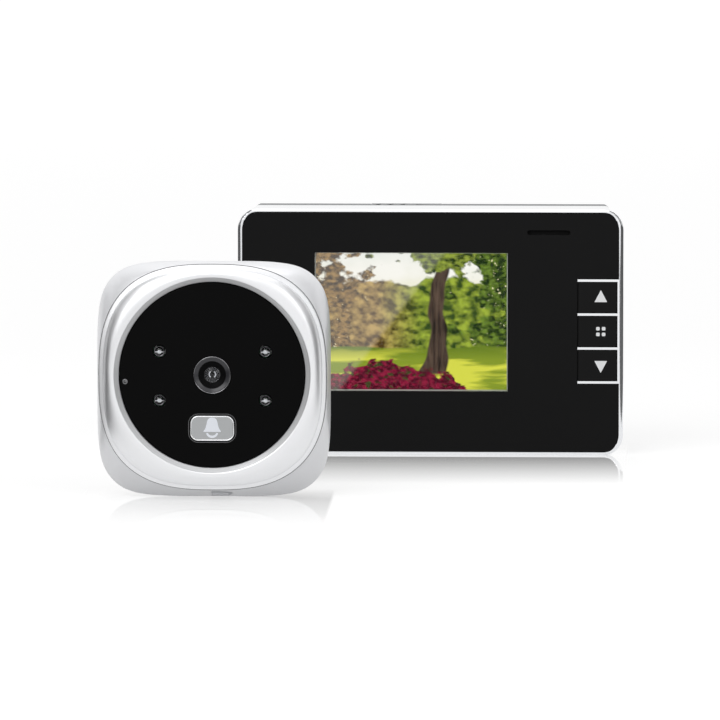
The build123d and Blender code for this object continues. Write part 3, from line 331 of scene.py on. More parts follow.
class Park:
    """The park's layers, in shares of the picture's width and height."""

    def __init__(self, graph: Graph, scale: Sequence[float], shift: Sequence[float]) -> None:
        """Take the picture's place.

        Args:
            graph: the material's nodes.
            scale: turns metres into shares.
            shift: brings the picture's lower left corner to zero.
        """
        self.graph = graph
        self.scale = scale
        self.where = graph.place(scale, shift)
        self.across, _, self.up = graph.split(self.where)

    def patches(self, scale: float, detail: float, low: float, high: float, *out: float) -> Socket:
        """Noise with its middle range spread out.

        Args:
            scale: how small the patches are.
            detail: how ragged they are.
            low: noise that becomes the lowest value.
            high: noise that becomes the highest value.
            out: the lowest and highest values, 0 and 1 unless given.

        Returns:
            The factor.
        """
        return self.graph.spread(self.graph.noise(self.where, scale, detail), low, high, *out)

    def below(self, edge: Socket, low: float = -0.004, high: float = 0.008) -> Socket:
        """A mask of what lies below an edge, with a soft rim."""
        return self.graph.spread(self.graph.sum("SUBTRACT", edge, self.up), low, high)

    def sky(self) -> Socket:
        """Pale warm light between the crowns of the trees."""
        sky = self.graph.blend(self.graph.spread(self.up, 0.5, 1.0), (0.92, 0.85, 0.55), (0.78, 0.82, 0.78))
        return self.graph.blend(self.patches(3.0, 3.0, 0.45, 0.65, 0.0, 0.8), sky, (0.96, 0.95, 0.90))

    def trees(self, tone: Socket, turn: Point2, ambers: Sequence[Colour], greens: Sequence[Colour]) -> Socket:
        """Leaves in two tones: amber on the left and green on the right.

        Args:
            tone: dark where 0 and light where 1.
            turn: where amber starts and ends its change to green.
            ambers: the dark and light amber.
            greens: the dark and light green.

        Returns:
            The leaves' colour.
        """
        amber, green = self.graph.blend(tone, *ambers), self.graph.blend(tone, *greens)
        return self.graph.blend(self.graph.spread(self.across, *turn), amber, green)

    def far_trees(self, behind: Socket) -> Socket:
        """A belt of far trees: sunlit amber on the left and fresh green on the right."""
        belt = self.trees(
            self.patches(19.0, 6.0, 0.38, 0.64), (0.32, 0.55),
            ((0.085, 0.045, 0.012), (0.50, 0.34, 0.11)), ((0.028, 0.060, 0.010), (0.34, 0.44, 0.045)),
        )
        edge = self.patches(3.6, 6.0, 0.25, 0.75, 0.5, 0.98)
        return self.graph.blend(self.below(edge, -0.01, 0.03), behind, belt)

    def near_trees(self, behind: Socket) -> Socket:
        """Darker crowns at the two sides, with small points of light in them."""
        graph = self.graph
        side = graph.sum("MULTIPLY", graph.away(self.across, 0.5), 1.5)
        reach = graph.sum("ADD", side, graph.sum("MULTIPLY", self.up, 0.12))
        ragged = graph.sum("ADD", reach, self.patches(8.0, 6.0, 0.25, 0.75, -0.35, 0.35))
        crowns = self.trees(
            self.patches(34.0, 6.0, 0.40, 0.66), (0.35, 0.6),
            ((0.035, 0.018, 0.006), (0.36, 0.22, 0.07)), ((0.010, 0.026, 0.005), (0.16, 0.26, 0.03)),
        )
        crowns = graph.blend(self.patches(58.0, 1.0, 0.70, 0.75, 0.0, 0.8), crowns, (0.86, 0.78, 0.50))
        return graph.blend(graph.spread(ragged, 0.52, 0.60), behind, crowns)

    def lawn(self, behind: Socket) -> Socket:
        """Sunlit lawn with long soft shadows under the trees."""
        graph = self.graph
        long = graph.place((self.scale[0] * 2.4, 1.0, self.scale[2] * 12.0))
        shade = graph.spread(graph.noise(long, 1.0, 4.0), 0.44, 0.54, 0.0, 0.85)
        grass = graph.blend(shade, (0.66, 0.68, 0.07), (0.15, 0.24, 0.015))
        grass = graph.blend(graph.spread(self.up, 0.22, 0.32, 0.0, 0.8), grass, (0.09, 0.16, 0.012))
        return graph.blend(self.below(self.patches(2.0, 2.0, 0.3, 0.7, 0.29, 0.33)), behind, grass)

    def trunk(self, behind: Socket) -> Socket:
        """A dark trunk right of the middle, wider at its foot."""
        graph = self.graph
        bark = graph.place((self.scale[0] * 40.0, 1.0, self.scale[2] * 5.0))
        sway = graph.spread(graph.noise(graph.place((0.0, 0.0, self.scale[2])), 2.6, 1.0), 0.3, 0.7, 0.60, 0.67)
        foot = graph.spread(self.up, 0.12, 0.34, 0.075, 0.045)
        half = graph.sum("ADD", foot, graph.spread(self.up, 0.34, 1.0, 0.0, -0.012))
        mask = graph.spread(graph.sum("SUBTRACT", half, graph.away(self.across, sway)), -0.004, 0.006)
        standing = graph.sum("MULTIPLY", mask, graph.spread(self.up, 0.115, 0.125))
        tone = graph.spread(graph.noise(bark, 1.0, 5.0), 0.35, 0.68)
        return graph.blend(standing, behind, graph.blend(tone, (0.012, 0.008, 0.006), (0.13, 0.085, 0.06)))

    def canopy(self, behind: Socket) -> Socket:
        """Leaves that hang over the trunk's top."""
        graph = self.graph
        reach = graph.sum("SUBTRACT", self.up, graph.sum("MULTIPLY", graph.away(self.across, 0.66), 0.75))
        ragged = graph.sum("ADD", reach, self.patches(9.0, 6.0, 0.25, 0.75, -0.2, 0.2))
        leaves = graph.blend(self.patches(30.0, 6.0, 0.40, 0.66), (0.020, 0.040, 0.008), (0.30, 0.38, 0.05))
        return graph.blend(graph.spread(ragged, 0.80, 0.85), behind, leaves)

    def flower_bed(self, behind: Socket) -> Socket:
        """A bed of dark red flowers along the front."""
        graph = self.graph
        from_middle = graph.sum("SUBTRACT", self.across, 0.36)
        hill = graph.sum("MULTIPLY", from_middle, from_middle)
        edge = graph.sum("SUBTRACT", self.patches(12.0, 4.0, 0.3, 0.7, 0.15, 0.25), hill)
        flowers = graph.blend(self.patches(46.0, 3.0, 0.42, 0.62), (0.055, 0.002, 0.010), (0.27, 0.012, 0.045))
        bed = graph.blend(self.patches(30.0, 4.0, 0.58, 0.64, 0.0, 0.9), flowers, (0.03, 0.06, 0.012))
        return graph.blend(self.below(edge), behind, bed)

    def haze(self, behind: Socket) -> Socket:
        """Soft diagonal light over the upper left of the picture."""
        line = self.graph.sum("SUBTRACT", self.graph.sum("MULTIPLY", self.up, 0.55), self.across)
        return self.graph.blend(self.graph.spread(line, -0.14, -0.11, 0.0, 0.11), behind, (0.95, 0.90, 0.84))


class Finishes:
    """Every finish of the product, by the maker's word for it."""

    polished_silver = Finish("polished_silver", (0.80, 0.81, 0.83), 0.08, metallic=0.95, wander=0.015)
    satin_silver = Finish(
        "satin_silver", (0.80, 0.805, 0.825), 0.36, metallic=0.4, wander=0.012, wander_scale=30.0,
        grain=0.0006, grain_scale=5200.0, coat=0.12, coat_roughness=0.2,
    )
    # the bezel's throat colour is painted shade on its chamfer
    bezel_silver = ShadedThroatFinish(
        "bezel_silver", (0.79, 0.795, 0.81), 0.36, metallic=0.9, wander=0.012, wander_scale=30.0,
        coat=0.12, coat_roughness=0.2, centre=(-59.0, 36.1), throat=(0.60, 0.605, 0.615),
    )
    panel_black = Finish("panel_black", (0.0100, 0.0100, 0.0102), 0.035, specular=0.035, wander=0.06)
    key_black = Finish("key_black", (0.0100, 0.0100, 0.0102), 0.05, specular=0.05, wander=0.06)
    disc_black = Finish("disc_black", (0.0032, 0.0032, 0.0033), 0.06, specular=0.03, wander=0.1)
    matt_black = Finish("matt_black", (0.012, 0.012, 0.012), 0.55, grain=0.01, grain_scale=1900.0)
    sound_cloth = Finish("sound_cloth", (0.006, 0.006, 0.006), 0.8, specular=0.1, grain=0.02, grain_scale=3000.0)
    lens_black = Finish("lens_black", (0.0045, 0.0045, 0.0048), 0.25, specular=0.04)
    lens_matt = Finish("lens_matt", (0.0035, 0.0035, 0.0038), 0.4, specular=0.03)
    lens_edge = Finish("lens_edge", (0.30, 0.30, 0.31), 0.12, metallic=0.9)
    iris_black = Finish("iris_black", (0.002, 0.002, 0.002), 0.3, specular=0.3)
    shell_grey = Finish(
        "shell_grey", (0.30, 0.305, 0.31), 0.7, specular=0.12, wander=0.02, grain=0.012, grain_scale=2100.0,
    )
    button_silver = Finish("button_silver", (0.47, 0.475, 0.485), 0.26, metallic=0.75, wander=0.01, coat=0.3)
    bright_chrome = Finish("bright_chrome", (0.86, 0.87, 0.88), 0.07, metallic=1.0, wander=0.01)
    bell_white = Finish("bell_white", (0.86, 0.89, 0.95), 0.35, wander=0.01)
    sign_white = Finish("sign_white", (0.84, 0.85, 0.86), 0.45, wander=0.01)
    ring_grey = Finish("ring_grey", (0.17, 0.17, 0.175), 0.3, metallic=0.6)
    cup_grey = Finish("cup_grey", (0.22, 0.22, 0.225), 0.2, metallic=0.7)
    steel = Finish("steel", (0.56, 0.57, 0.58), 0.28, metallic=1.0, wander=0.05, grain=0.004)
    spring_steel = Finish("spring_steel", (0.66, 0.65, 0.62), 0.22, metallic=1.0, wander=0.04)
    nickel = Finish("nickel", (0.66, 0.65, 0.62), 0.2, metallic=1.0, wander=0.04, stretch=(1, 6, 1))
    shadow_seal_grey = Finish("shadow_seal_grey", (0.16, 0.16, 0.165), 0.6)
    foam = Finish(
        "foam", (0.016, 0.016, 0.017), 0.95, grain=0.12, grain_scale=1300.0, wander=0.25, wander_scale=900.0
    )
    rubber = Finish("rubber", (0.02, 0.02, 0.02), 0.7, grain=0.01, grain_scale=1500.0)
    solder_mask = Finish("solder_mask", (0.014, 0.12, 0.045), 0.3, wander=0.2, wander_scale=240.0, coat=0.2)
    white_nylon = Finish("white_nylon", (0.78, 0.77, 0.72), 0.45, grain=0.004, wander=0.03)
    cell_can = Finish("cell_can", (0.10, 0.115, 0.13), 0.25, metallic=0.7, coat=0.5, wander=0.08)
    pale_border = Finish("pale_border", (0.55, 0.57, 0.52), 0.5, wander=0.03)
    coated_acrylic = ClearFinish("coated_acrylic", WHITE, ior=1.18)
    lamp_epoxy = ClearFinish("lamp_epoxy", (0.96, 0.97, 1.0), ior=1.53)
    lens_glass = ClearFinish("lens_glass", (0.86, 0.87, 0.92), ior=1.3)
    picture = ParkPicture()


# Modelling helpers


def only(piece: bpy.types.Object) -> None:
    """Select one object and make it the active one."""
    bpy.ops.object.select_all(action="DESELECT")
    piece.hide_set(False)
    piece.select_set(True)
    bpy.context.view_layer.objects.active = piece


def in_edit(piece: bpy.types.Object, work: Callable[[], None]) -> None:
    """Run edit-mode operators on the whole of a piece.

    Args:
        piece: the object to edit.
        work: the operators, run with everything selected.
    """
    only(piece)
    bpy.ops.object.mode_set(mode="EDIT")
    bpy.ops.mesh.select_mode(type="VERT")
    bpy.ops.mesh.select_all(action="SELECT")
    work()
    bpy.ops.object.mode_set(mode="OBJECT")


def tidy_normals(piece: bpy.types.Object) -> None:
    """Merge doubles and turn every face outwards."""

    def work() -> None:
        """Merge, then recalculate."""
        bpy.ops.mesh.remove_doubles(threshold=MERGE)
        bpy.ops.mesh.normals_make_consistent(inside=False)

    in_edit(piece, work)


def smooth(piece: bpy.types.Object, angle: float = 35.0) -> None:
    """Smooth shading, with edges sharper than the angle left crisp."""
    only(piece)
    bpy.ops.object.shade_smooth_by_angle(angle=math.radians(angle))


def bevel(piece: bpy.types.Object, width: float, angle: float = 40.0, segments: int = 2) -> None:
    """Round the sharp edges by a width in millimetres."""
    only(piece)
    made = piece.modifiers.new("edge_rounding", "BEVEL")
    made.width = width * MM
    made.segments = segments
    made.limit_method = "ANGLE"
    made.angle_limit = math.radians(angle)
    made.use_clamp_overlap = True
    bpy.ops.object.modifier_apply(modifier=made.name)


def finish_with(piece: bpy.types.Object, finish: Surface) -> None:
    """Give the whole piece one finish."""
    piece.data.materials.clear()
    piece.data.materials.append(finish.material())


def level_normals(piece: bpy.types.Object) -> None:
    """Let the large flat faces set the shading, so that a rounded edge doesn't bend their light."""
    only(piece)
    made = piece.modifiers.new("level_normals", "WEIGHTED_NORMAL")
    made.keep_sharp = True
    made.weight = FLAT_FACE_WEIGHT
    bpy.ops.object.modifier_apply(modifier=made.name)


def polygon(name: str, outline: Sequence[Point2], front: float, rear: float) -> bpy.types.Object:
    """A flat shape drawn in X and Z and thickened along Y, in millimetres.

    Args:
        name: the piece's name.
        outline: its corners in order.
        front: the Y of its front face.
        rear: the Y of its rear face.

    Returns:
        The closed piece.
    """
    bpy.ops.object.select_all(action="DESELECT")
    bpy.ops.mesh.primitive_circle_add(vertices=len(outline), radius=1.0, fill_type="NGON")
    piece = bpy.context.object
    piece.name = name
    for vertex, (x, z) in zip(piece.data.vertices, outline):
        vertex.co = Vector((x, front, z)) * MM

    def work() -> None:
        """Draw the face out to its thickness."""
        bpy.ops.mesh.extrude_region_move(TRANSFORM_OT_translate={"value": (0, (rear - front) * MM, 0)})

    in_edit(piece, work)
    tidy_normals(piece)
    return piece


def ring_stack(name: str, rings: Sequence[Sequence[Vector]], looped: bool = False) -> bpy.types.Object:
    """A closed skin over rings of points, each with the same count.

    Args:
        name: the piece's name.
        rings: the rings in order, in millimetres.
        looped: True where the last ring joins the first, as on a hoop.

    Returns:
        The closed piece, its ends filled where it isn't looped.
    """
    mesh = bpy.data.meshes.new(name)
    shape = bmesh.new()
    rows = [[shape.verts.new(Vector(point) * MM) for point in ring] for ring in rings]
    pairs = list(zip(rows, rows[1:])) + ([(rows[-1], rows[0])] if looped else [])
    for lower, upper in pairs:
        for here in range(len(lower)):
            after = (here + 1) % len(lower)
            shape.faces.new((lower[here], lower[after], upper[after], upper[here]))
    if not looped:
        shape.faces.new(rows[0])
        shape.faces.new(rows[-1])
    shape.to_mesh(mesh)
    shape.free()
    piece = bpy.data.objects.new(name, mesh)
    bpy.context.collection.objects.link(piece)
    tidy_normals(piece)
    return piece


def circle_ring(radius: float, y: float, centre: Point2 = (0.0, 0.0), count: int = 96) -> list[Vector]:
    """A round ring facing Y, in millimetres."""
    turn = [2 * math.pi * step / count for step in range(count)]
    return [Vector((centre[0] + radius * math.cos(a), y, centre[1] + radius * math.sin(a))) for a in turn]


def turned(
    name: str, profile: Sequence[Point2], centre: Point2, count: int = 96, crisp: float = 30.0
) -> bpy.types.Object:
    """A hoop turned about Y, with smooth shading.

    Args:
        name: the piece's name.
        profile: closed profile of radius and Y pairs, in millimetres.
        centre: X and Z of its axis.
        count: points round the hoop.
        crisp: edges sharper than this stay crisp, in degrees.

    Returns:
        The closed hoop.
    """
    piece = ring_stack(name, [circle_ring(radius, y, centre, count) for radius, y in profile], looped=True)
    smooth(piece, crisp)
    return piece


def twin(piece: bpy.types.Object, name: str, shift: Point2) -> bpy.types.Object:
    """A copy of a piece with its own mesh.

    Args:
        piece: the piece to copy.
        name: the copy's name.
        shift: how far the copy lies from the piece in X and Z, in millimetres.

    Returns:
        The copy.
    """
    made = piece.copy()
    made.data = piece.data.copy()
    made.name = name
    bpy.context.collection.objects.link(made)
    made.data.transform(Matrix.Translation(Vector((shift[0], 0.0, shift[1])) * MM))
    return made


def paint_faces(
    piece: bpy.types.Object, finish: Surface, chosen: Callable[[bpy.types.MeshPolygon], bool]
) -> None:
    """Give some faces of a dressed piece a second finish.

    Args:
        piece: the piece.
        finish: the second finish.
        chosen: says whether a face takes it.
    """
    piece.data.materials.append(finish.material())
    for face in piece.data.polygons:
        if chosen(face):
            face.material_index = 1


def finished_copy(
    node: str,
    rounding: float,
    angle: float = 35.0,
    level: bool = True,
    reshape: Callable[[bpy.types.Object], None] | None = None,
) -> bpy.types.Object:
    """A merged copy of a CAD node with rounded edges and smooth shading, which stands for the node.

    Args:
        node: the CAD node.
        rounding: width of the rounding in millimetres, or 0 for none.
        angle: edges sharper than this stay crisp, in degrees.
        level: True where the flat faces set the shading.
        reshape: a change of shape, made before the edges are rounded.

    Returns:
        The copy, at the origin.
    """
    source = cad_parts[node]
    piece = bpy.data.objects.new(node + "_finished", source.data.copy())
    bpy.context.collection.objects.link(piece)

    def work() -> None:
        """Merge the loose triangles and clear the flat faces of their diagonals."""
        bpy.ops.mesh.remove_doubles(threshold=MERGE)
        bpy.ops.mesh.dissolve_limited(angle_limit=FLAT_WITHIN)

    in_edit(piece, work)
    if reshape:
        reshape(piece)
    if rounding > 0:
        bevel(piece, rounding)
    smooth(piece, angle)
    if level:
        level_normals(piece)
    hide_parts(node)
    return piece


def settle(
    piece: bpy.types.Object, finish: Surface, slot: str, carrier: Carrier = Carrier.HOUSINGS
) -> None:
    """Dress a finished piece, let it ride on its body and log it.

    Args:
        piece: the finished piece.
        finish: its finish.
        slot: the record's material slot; not used.
        carrier: the body that it moves with.
    """
    finish_with(piece, finish)
    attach(piece, carrier.value)
    LOG.info("%s on %s", piece.name, carrier.value)


def flat(ring: Sequence[Vector]) -> list[Point2]:
    """The X and Z of a ring's points."""
    return [(point.x, point.z) for point in ring]


def squircle(
    half_width: float, half_height: float, power: float, y: float, centre: Point2, count: int
) -> list[Vector]:
    """A superellipse ring facing Y: a circle at power 2, squarer with a higher power."""
    ring = []
    for step in range(count):
        angle = 2 * math.pi * step / count
        across = abs(math.cos(angle)) / half_width
        up = abs(math.sin(angle)) / half_height
        reach = (across**power + up**power) ** (-1 / power)
        ring.append(Vector((centre[0] + reach * math.cos(angle), y, centre[1] + reach * math.sin(angle))))
    return ring


def rounded_box(
    width: float, height: float, radius: float, y: float, centre: Point2, steps: int = 10
) -> list[Vector]:
    """A rounded rectangle ring facing Y."""
    ring = []
    for corner, (side, rise) in enumerate(((1, 1), (-1, 1), (-1, -1), (1, -1))):
        middle_x = centre[0] + side * (width / 2 - radius)
        middle_z = centre[1] + rise * (height / 2 - radius)
        for step in range(steps + 1):
            angle = math.pi / 2 * (corner + step / steps)
            ring.append(Vector((middle_x + radius * math.cos(angle), y, middle_z + radius * math.sin(angle))))
    return ring


# The indoor monitor


@dataclass(frozen=True)
class FullCorners:
    """Gives the monitor's outline the full round corners of the real one, and a thinner rim above and below."""

    half_width: float = 57.5
    half_height: float = 36.6
    old: float = 4.3
    new: float = 6.0
    steps: int = 10
    thin_from: float = 31.0
    thin_to: float = 35.25
    thinner: float = 0.62
    pocket: float = 1.2
    pocket_rear: float = -9.1
    front: float = -10.98
    wider_edge: float = 0.22
    taper: float = 4.3
    depth: float = 22.0
    wall: float = 0.9

    def reshape(self, piece: bpy.types.Object) -> None:
        """Cut the corners into thin wedges and move their points onto the rounder outline."""
        shape = bmesh.new()
        shape.from_mesh(piece.data)
        side, rise = self.half_width - self.new, self.half_height - self.new
        for turn in (-1, 1):
            self.cut(shape, list(shape.faces), Vector((turn * side, 0, 0)), Vector((1, 0, 0)))
            self.cut(shape, list(shape.faces), Vector((0, 0, self.half_height + turn * rise)), Vector((0, 0, 1)))
        for across, up in ((-1, -1), (-1, 1), (1, -1), (1, 1)):
            centre = Vector((across * side, 0, self.half_height + up * rise))
            for step in range(1, self.steps):
                angle = math.pi / 2 * step / self.steps
                normal = Vector((-across * math.sin(angle), 0, up * math.cos(angle)))
                self.cut(shape, self.corner_faces(shape, centre, across, up), centre, normal)
        for vertex in shape.verts:
            vertex.co = self.moved(vertex.co / MM) * MM
        bmesh.ops.remove_doubles(shape, verts=shape.verts, dist=4e-6)
        shape.to_mesh(piece.data)
        shape.free()

    def cut(self, shape: bmesh.types.BMesh, faces: list[bmesh.types.BMFace], place: Vector, normal: Vector) -> None:
        """Cut some faces along a plane, given in millimetres."""
        parts = set(faces)
        for face in faces:
            parts.update(face.edges)
            parts.update(face.verts)
        bmesh.ops.bisect_plane(shape, geom=list(parts), dist=1e-7, plane_co=place * MM, plane_no=normal)

    def corner_faces(
        self, shape: bmesh.types.BMesh, centre: Vector, across: int, up: int
    ) -> list[bmesh.types.BMFace]:
        """The faces in one corner of the outline."""
        found = []
        for face in shape.faces:
            place = face.calc_center_median() / MM - centre
            if across * place.x > 0 and up * place.z > 0:
                found.append(face)
        return found

    def moved(self, point: Vector) -> Vector:
        """Where a point of the old outline goes, in millimetres."""
        across, up = math.copysign(1, point.x), math.copysign(1, point.z - self.half_height)
        wide, tall = abs(point.x), abs(point.z - self.half_height)
        if point.y < self.pocket_rear and self.inset(wide, tall) > self.pocket:
            share = (tall - self.thin_from) / (self.thin_to - self.thin_from)
            tall += self.thinner * min(1.0, max(0.0, share))
        on_edge = point.y < self.front and self.inset(wide, tall) < self.pocket
        out, over = wide - self.half_width + self.new, tall - self.half_height + self.new
        if on_edge and out > 0:
            wide -= self.wider_edge * math.cos(math.atan2(max(over, 0.0), out))
        if out > 0 and over > 0:
            shrink = self.new / self.reach(math.atan2(over, out))
            wide += out * (shrink - 1)
            tall += over * (shrink - 1)
        return Vector((across * wide, point.y, self.half_height + up * tall))

    def inset(self, wide: float, tall: float) -> float:
        """How far inside the old outline a point lies."""
        out, over = wide - self.half_width + self.old, tall - self.half_height + self.old
        corner = math.hypot(max(out, 0.0), max(over, 0.0))
        return self.old - corner - min(max(out, over), 0.0)

    def inside(self, point: Vector) -> bool:
        """Whether a point, in millimetres, lies inside the tapered outer wall."""
        taper = self.taper * (point.y - self.front) / self.depth
        return self.inset(abs(point.x) + taper, abs(point.z - self.half_height)) > self.wall

    def reach(self, angle: float) -> float:
        """Distance from the new corner's centre to the old outline."""
        shift = self.new - self.old
        foot = math.atan2(shift, self.new)
        if angle <= foot:
            return self.new / math.cos(angle)
        if angle >= math.pi / 2 - foot:
            return self.new / math.sin(angle)
        along = shift * (math.cos(angle) + math.sin(angle))
        return along + math.sqrt(self.old**2 - 2 * shift**2 + along**2)


@dataclass
class MonitorCase:
    """Frame, panel, back cover and battery cover of the monitor."""

    edge_rounding: float = 0.14
    frame_rounding: float = 0.05
    shade_paint_depth: float = -9.6
    panel_rounding: float = 0.1
    cover_rounding: float = 0.05
    screw_rounding: float = 0.08
    grip_low: float = 72.3
    grip_high: float = 73.15

    def build(self) -> None:
        """Finish the case's pieces."""
        corners = FullCorners().reshape
        self.frame()
        pieces = (
            ("front_panel", self.panel_rounding, corners, Finishes.panel_black, "black_acrylic"),
            ("back_cover", self.edge_rounding, corners, Finishes.shell_grey, "grey_shell"),
            ("power_slider", self.panel_rounding, None, Finishes.matt_black, "black_plastic", Carrier.SLIDER),
            ("back_cover_screws", self.screw_rounding, None, Finishes.steel, "screw_steel"),
        )
        for node, rounding, reshape, *look in pieces:
            settle(finished_copy(node, rounding, reshape=reshape), *look)
        self.battery_cover()

    def frame(self) -> None:
        """Finish the frame; behind the panel and on the sides of the bars between the keys it is painted matt black,
        painted shade in the gaps beside the keys.
        """
        outline = FullCorners()
        frame_piece = finished_copy("monitor_frame", self.frame_rounding, reshape=outline.reshape)
        settle(frame_piece, Finishes.polished_silver, "silver_frame")
        # painted shade: the frame's faces behind the panel are matt black, so the bars between the keys show dark
        # shade lines above and below
        paint_faces(frame_piece, Finishes.matt_black, lambda face: (
            face.center.y > self.shade_paint_depth * MM and outline.inside(face.center / MM)
        ))

    def battery_cover(self) -> None:
        """Finish the battery cover; the grip slots in its tab are painted matt black inside, painted shade in the
        slots.
        """
        cover = finished_copy("battery_cover", self.cover_rounding)
        settle(cover, Finishes.shell_grey, "grey_shell", Carrier.BATTERY_COVER)
        # painted shade: the slot floors and walls are matt black to stand in for the shade inside the shallow grip
        # slots
        paint_faces(cover, Finishes.matt_black, lambda face: (
            self.grip_low * MM < face.center.z < self.grip_high * MM and abs(face.normal.y) < 0.7
        ))


@dataclass
class Display:
    """The picture behind the window and the pale edge round it."""

    left: float = -34.5
    bottom: float = 18.9
    width: float = 57.5
    height: float = 41.4
    border: float = 0.3
    border_depth: float = 0.06
    lift: float = 0.005
    corner: float = 0.05
    glass_front: float = -8.5

    def build(self) -> None:
        """Make the pale edge; the picture itself is the glass's own finish."""
        centre = (self.left + self.width / 2, self.bottom + self.height / 2)
        front, rear = self.glass_front - self.border_depth, self.glass_front - self.lift
        inner_w, inner_h = self.width - 2 * self.border, self.height - 2 * self.border
        rings = []
        for width, height, y in (
            (self.width, self.height, front), (self.width, self.height, rear),
            (inner_w, inner_h, rear), (inner_w, inner_h, front),
        ):
            rings.append(rounded_box(width, height, self.corner, y, centre, 2))
        edge = ring_stack("display_edge", rings, looped=True)
        settle(edge, Finishes.pale_border, "white_plastic")


@dataclass
class SoundCloth:
    """Black cloth behind the slot of the speaker; it stops a little short of the slot's right end."""

    left: float = 28.8
    right: float = 41.48
    middle: float = 66.4
    height: float = 1.4
    gap: float = 0.02
    front: float = -9.5
    rear: float = -9.22

    def build(self) -> None:
        """Cut the cloth and lay it in the slot."""
        centre = ((self.left + self.right) / 2, self.middle)
        radius = self.height / 2 - self.gap
        ring = rounded_box(self.right - self.left, self.height - self.gap, radius, 0.0, centre, 8)
        cloth = polygon("sound_cloth", flat(ring), self.front, self.rear)
        settle(cloth, Finishes.sound_cloth, "foam")


@dataclass
class KeyPad:
    """The three keys and the signs printed on them."""

    first_centre: float = 26.775
    pitch: float = 10.15
    face: float = -10.7
    rounding: float = 0.06
    print_depth: float = 0.03
    triangle_width: float = 3.8
    triangle_height: float = 3.6
    triangle_lift: float = 0.45
    triangle_corner: float = 0.22
    dot_pitch: float = 1.7
    dot_size: float = 1.08
    dot_corner: float = 0.3
    sign_x: float = 50.72

    def build(self) -> None:
        """Finish the keys and print their signs."""
        carriers = {KeySign.DOWN: Carrier.KEY_DOWN, KeySign.MENU: Carrier.KEY_MENU, KeySign.UP: Carrier.KEY_UP}
        for index, (sign, carrier) in enumerate(carriers.items()):
            key = finished_copy(carrier.value, self.rounding)
            settle(key, Finishes.key_black, "black_keys", carrier)
            middle = self.first_centre + index * self.pitch
            for printed in self.signs(sign, middle):
                settle(printed, Finishes.sign_white, "black_keys", carrier)

    def signs(self, sign: KeySign, middle: float) -> list[bpy.types.Object]:
        """The print of one key.

        Args:
            sign: which sign.
            middle: height of the key's centre.

        Returns:
            The printed shapes.
        """
        if sign is KeySign.MENU:
            return self.dots(middle)
        turn = 1 if sign is KeySign.UP else -1
        return [self.triangle(f"sign_{sign.value}", middle + turn * self.triangle_lift, turn)]

    def triangle(self, name: str, middle: float, turn: int) -> bpy.types.Object:
        """A triangle with slightly rounded corners."""
        tip, foot = middle + turn * self.triangle_height / 2, middle - turn * self.triangle_height / 2
        left, right = self.sign_x - self.triangle_width / 2, self.sign_x + self.triangle_width / 2
        outline = round_corners([(self.sign_x, tip), (left, foot), (right, foot)], self.triangle_corner)
        return polygon(name, outline, self.face - self.print_depth, self.face)

    def dots(self, middle: float) -> list[bpy.types.Object]:
        """Four rounded squares in a square."""
        first = (self.sign_x - self.dot_pitch / 2, middle - self.dot_pitch / 2)
        outline = flat(rounded_box(self.dot_size, self.dot_size, self.dot_corner, 0.0, first, 4))
        made = [polygon("sign_dot_11", outline, self.face - self.print_depth, self.face)]
        for name, column, row in (("sign_dot_13", 0, 1), ("sign_dot_31", 1, 0), ("sign_dot_33", 1, 1)):
            made.append(twin(made[0], name, (column * self.dot_pitch, row * self.dot_pitch)))
        return made


def round_corners(corners: Sequence[Point2], radius: float, steps: int = 5) -> list[Point2]:
    """A polygon's outline with each corner turned into a short curve.

    Args:
        corners: the corners in order.
        radius: how far along each side the curve starts.
        steps: points on each curve.

    Returns:
        The new outline.
    """
    outline = []
    for index, corner in enumerate(corners):
        here, before, after = Vector(corner), Vector(corners[index - 1]), Vector(corners[(index + 1) % len(corners)])
        start = here + (before - here).normalized() * radius
        end = here + (after - here).normalized() * radius
        for step in range(steps + 1):
            share = step / steps
            point = start * (1 - share) ** 2 + here * 2 * share * (1 - share) + end * share**2
            outline.append((point.x, point.y))
    return outline


# The outdoor camera unit


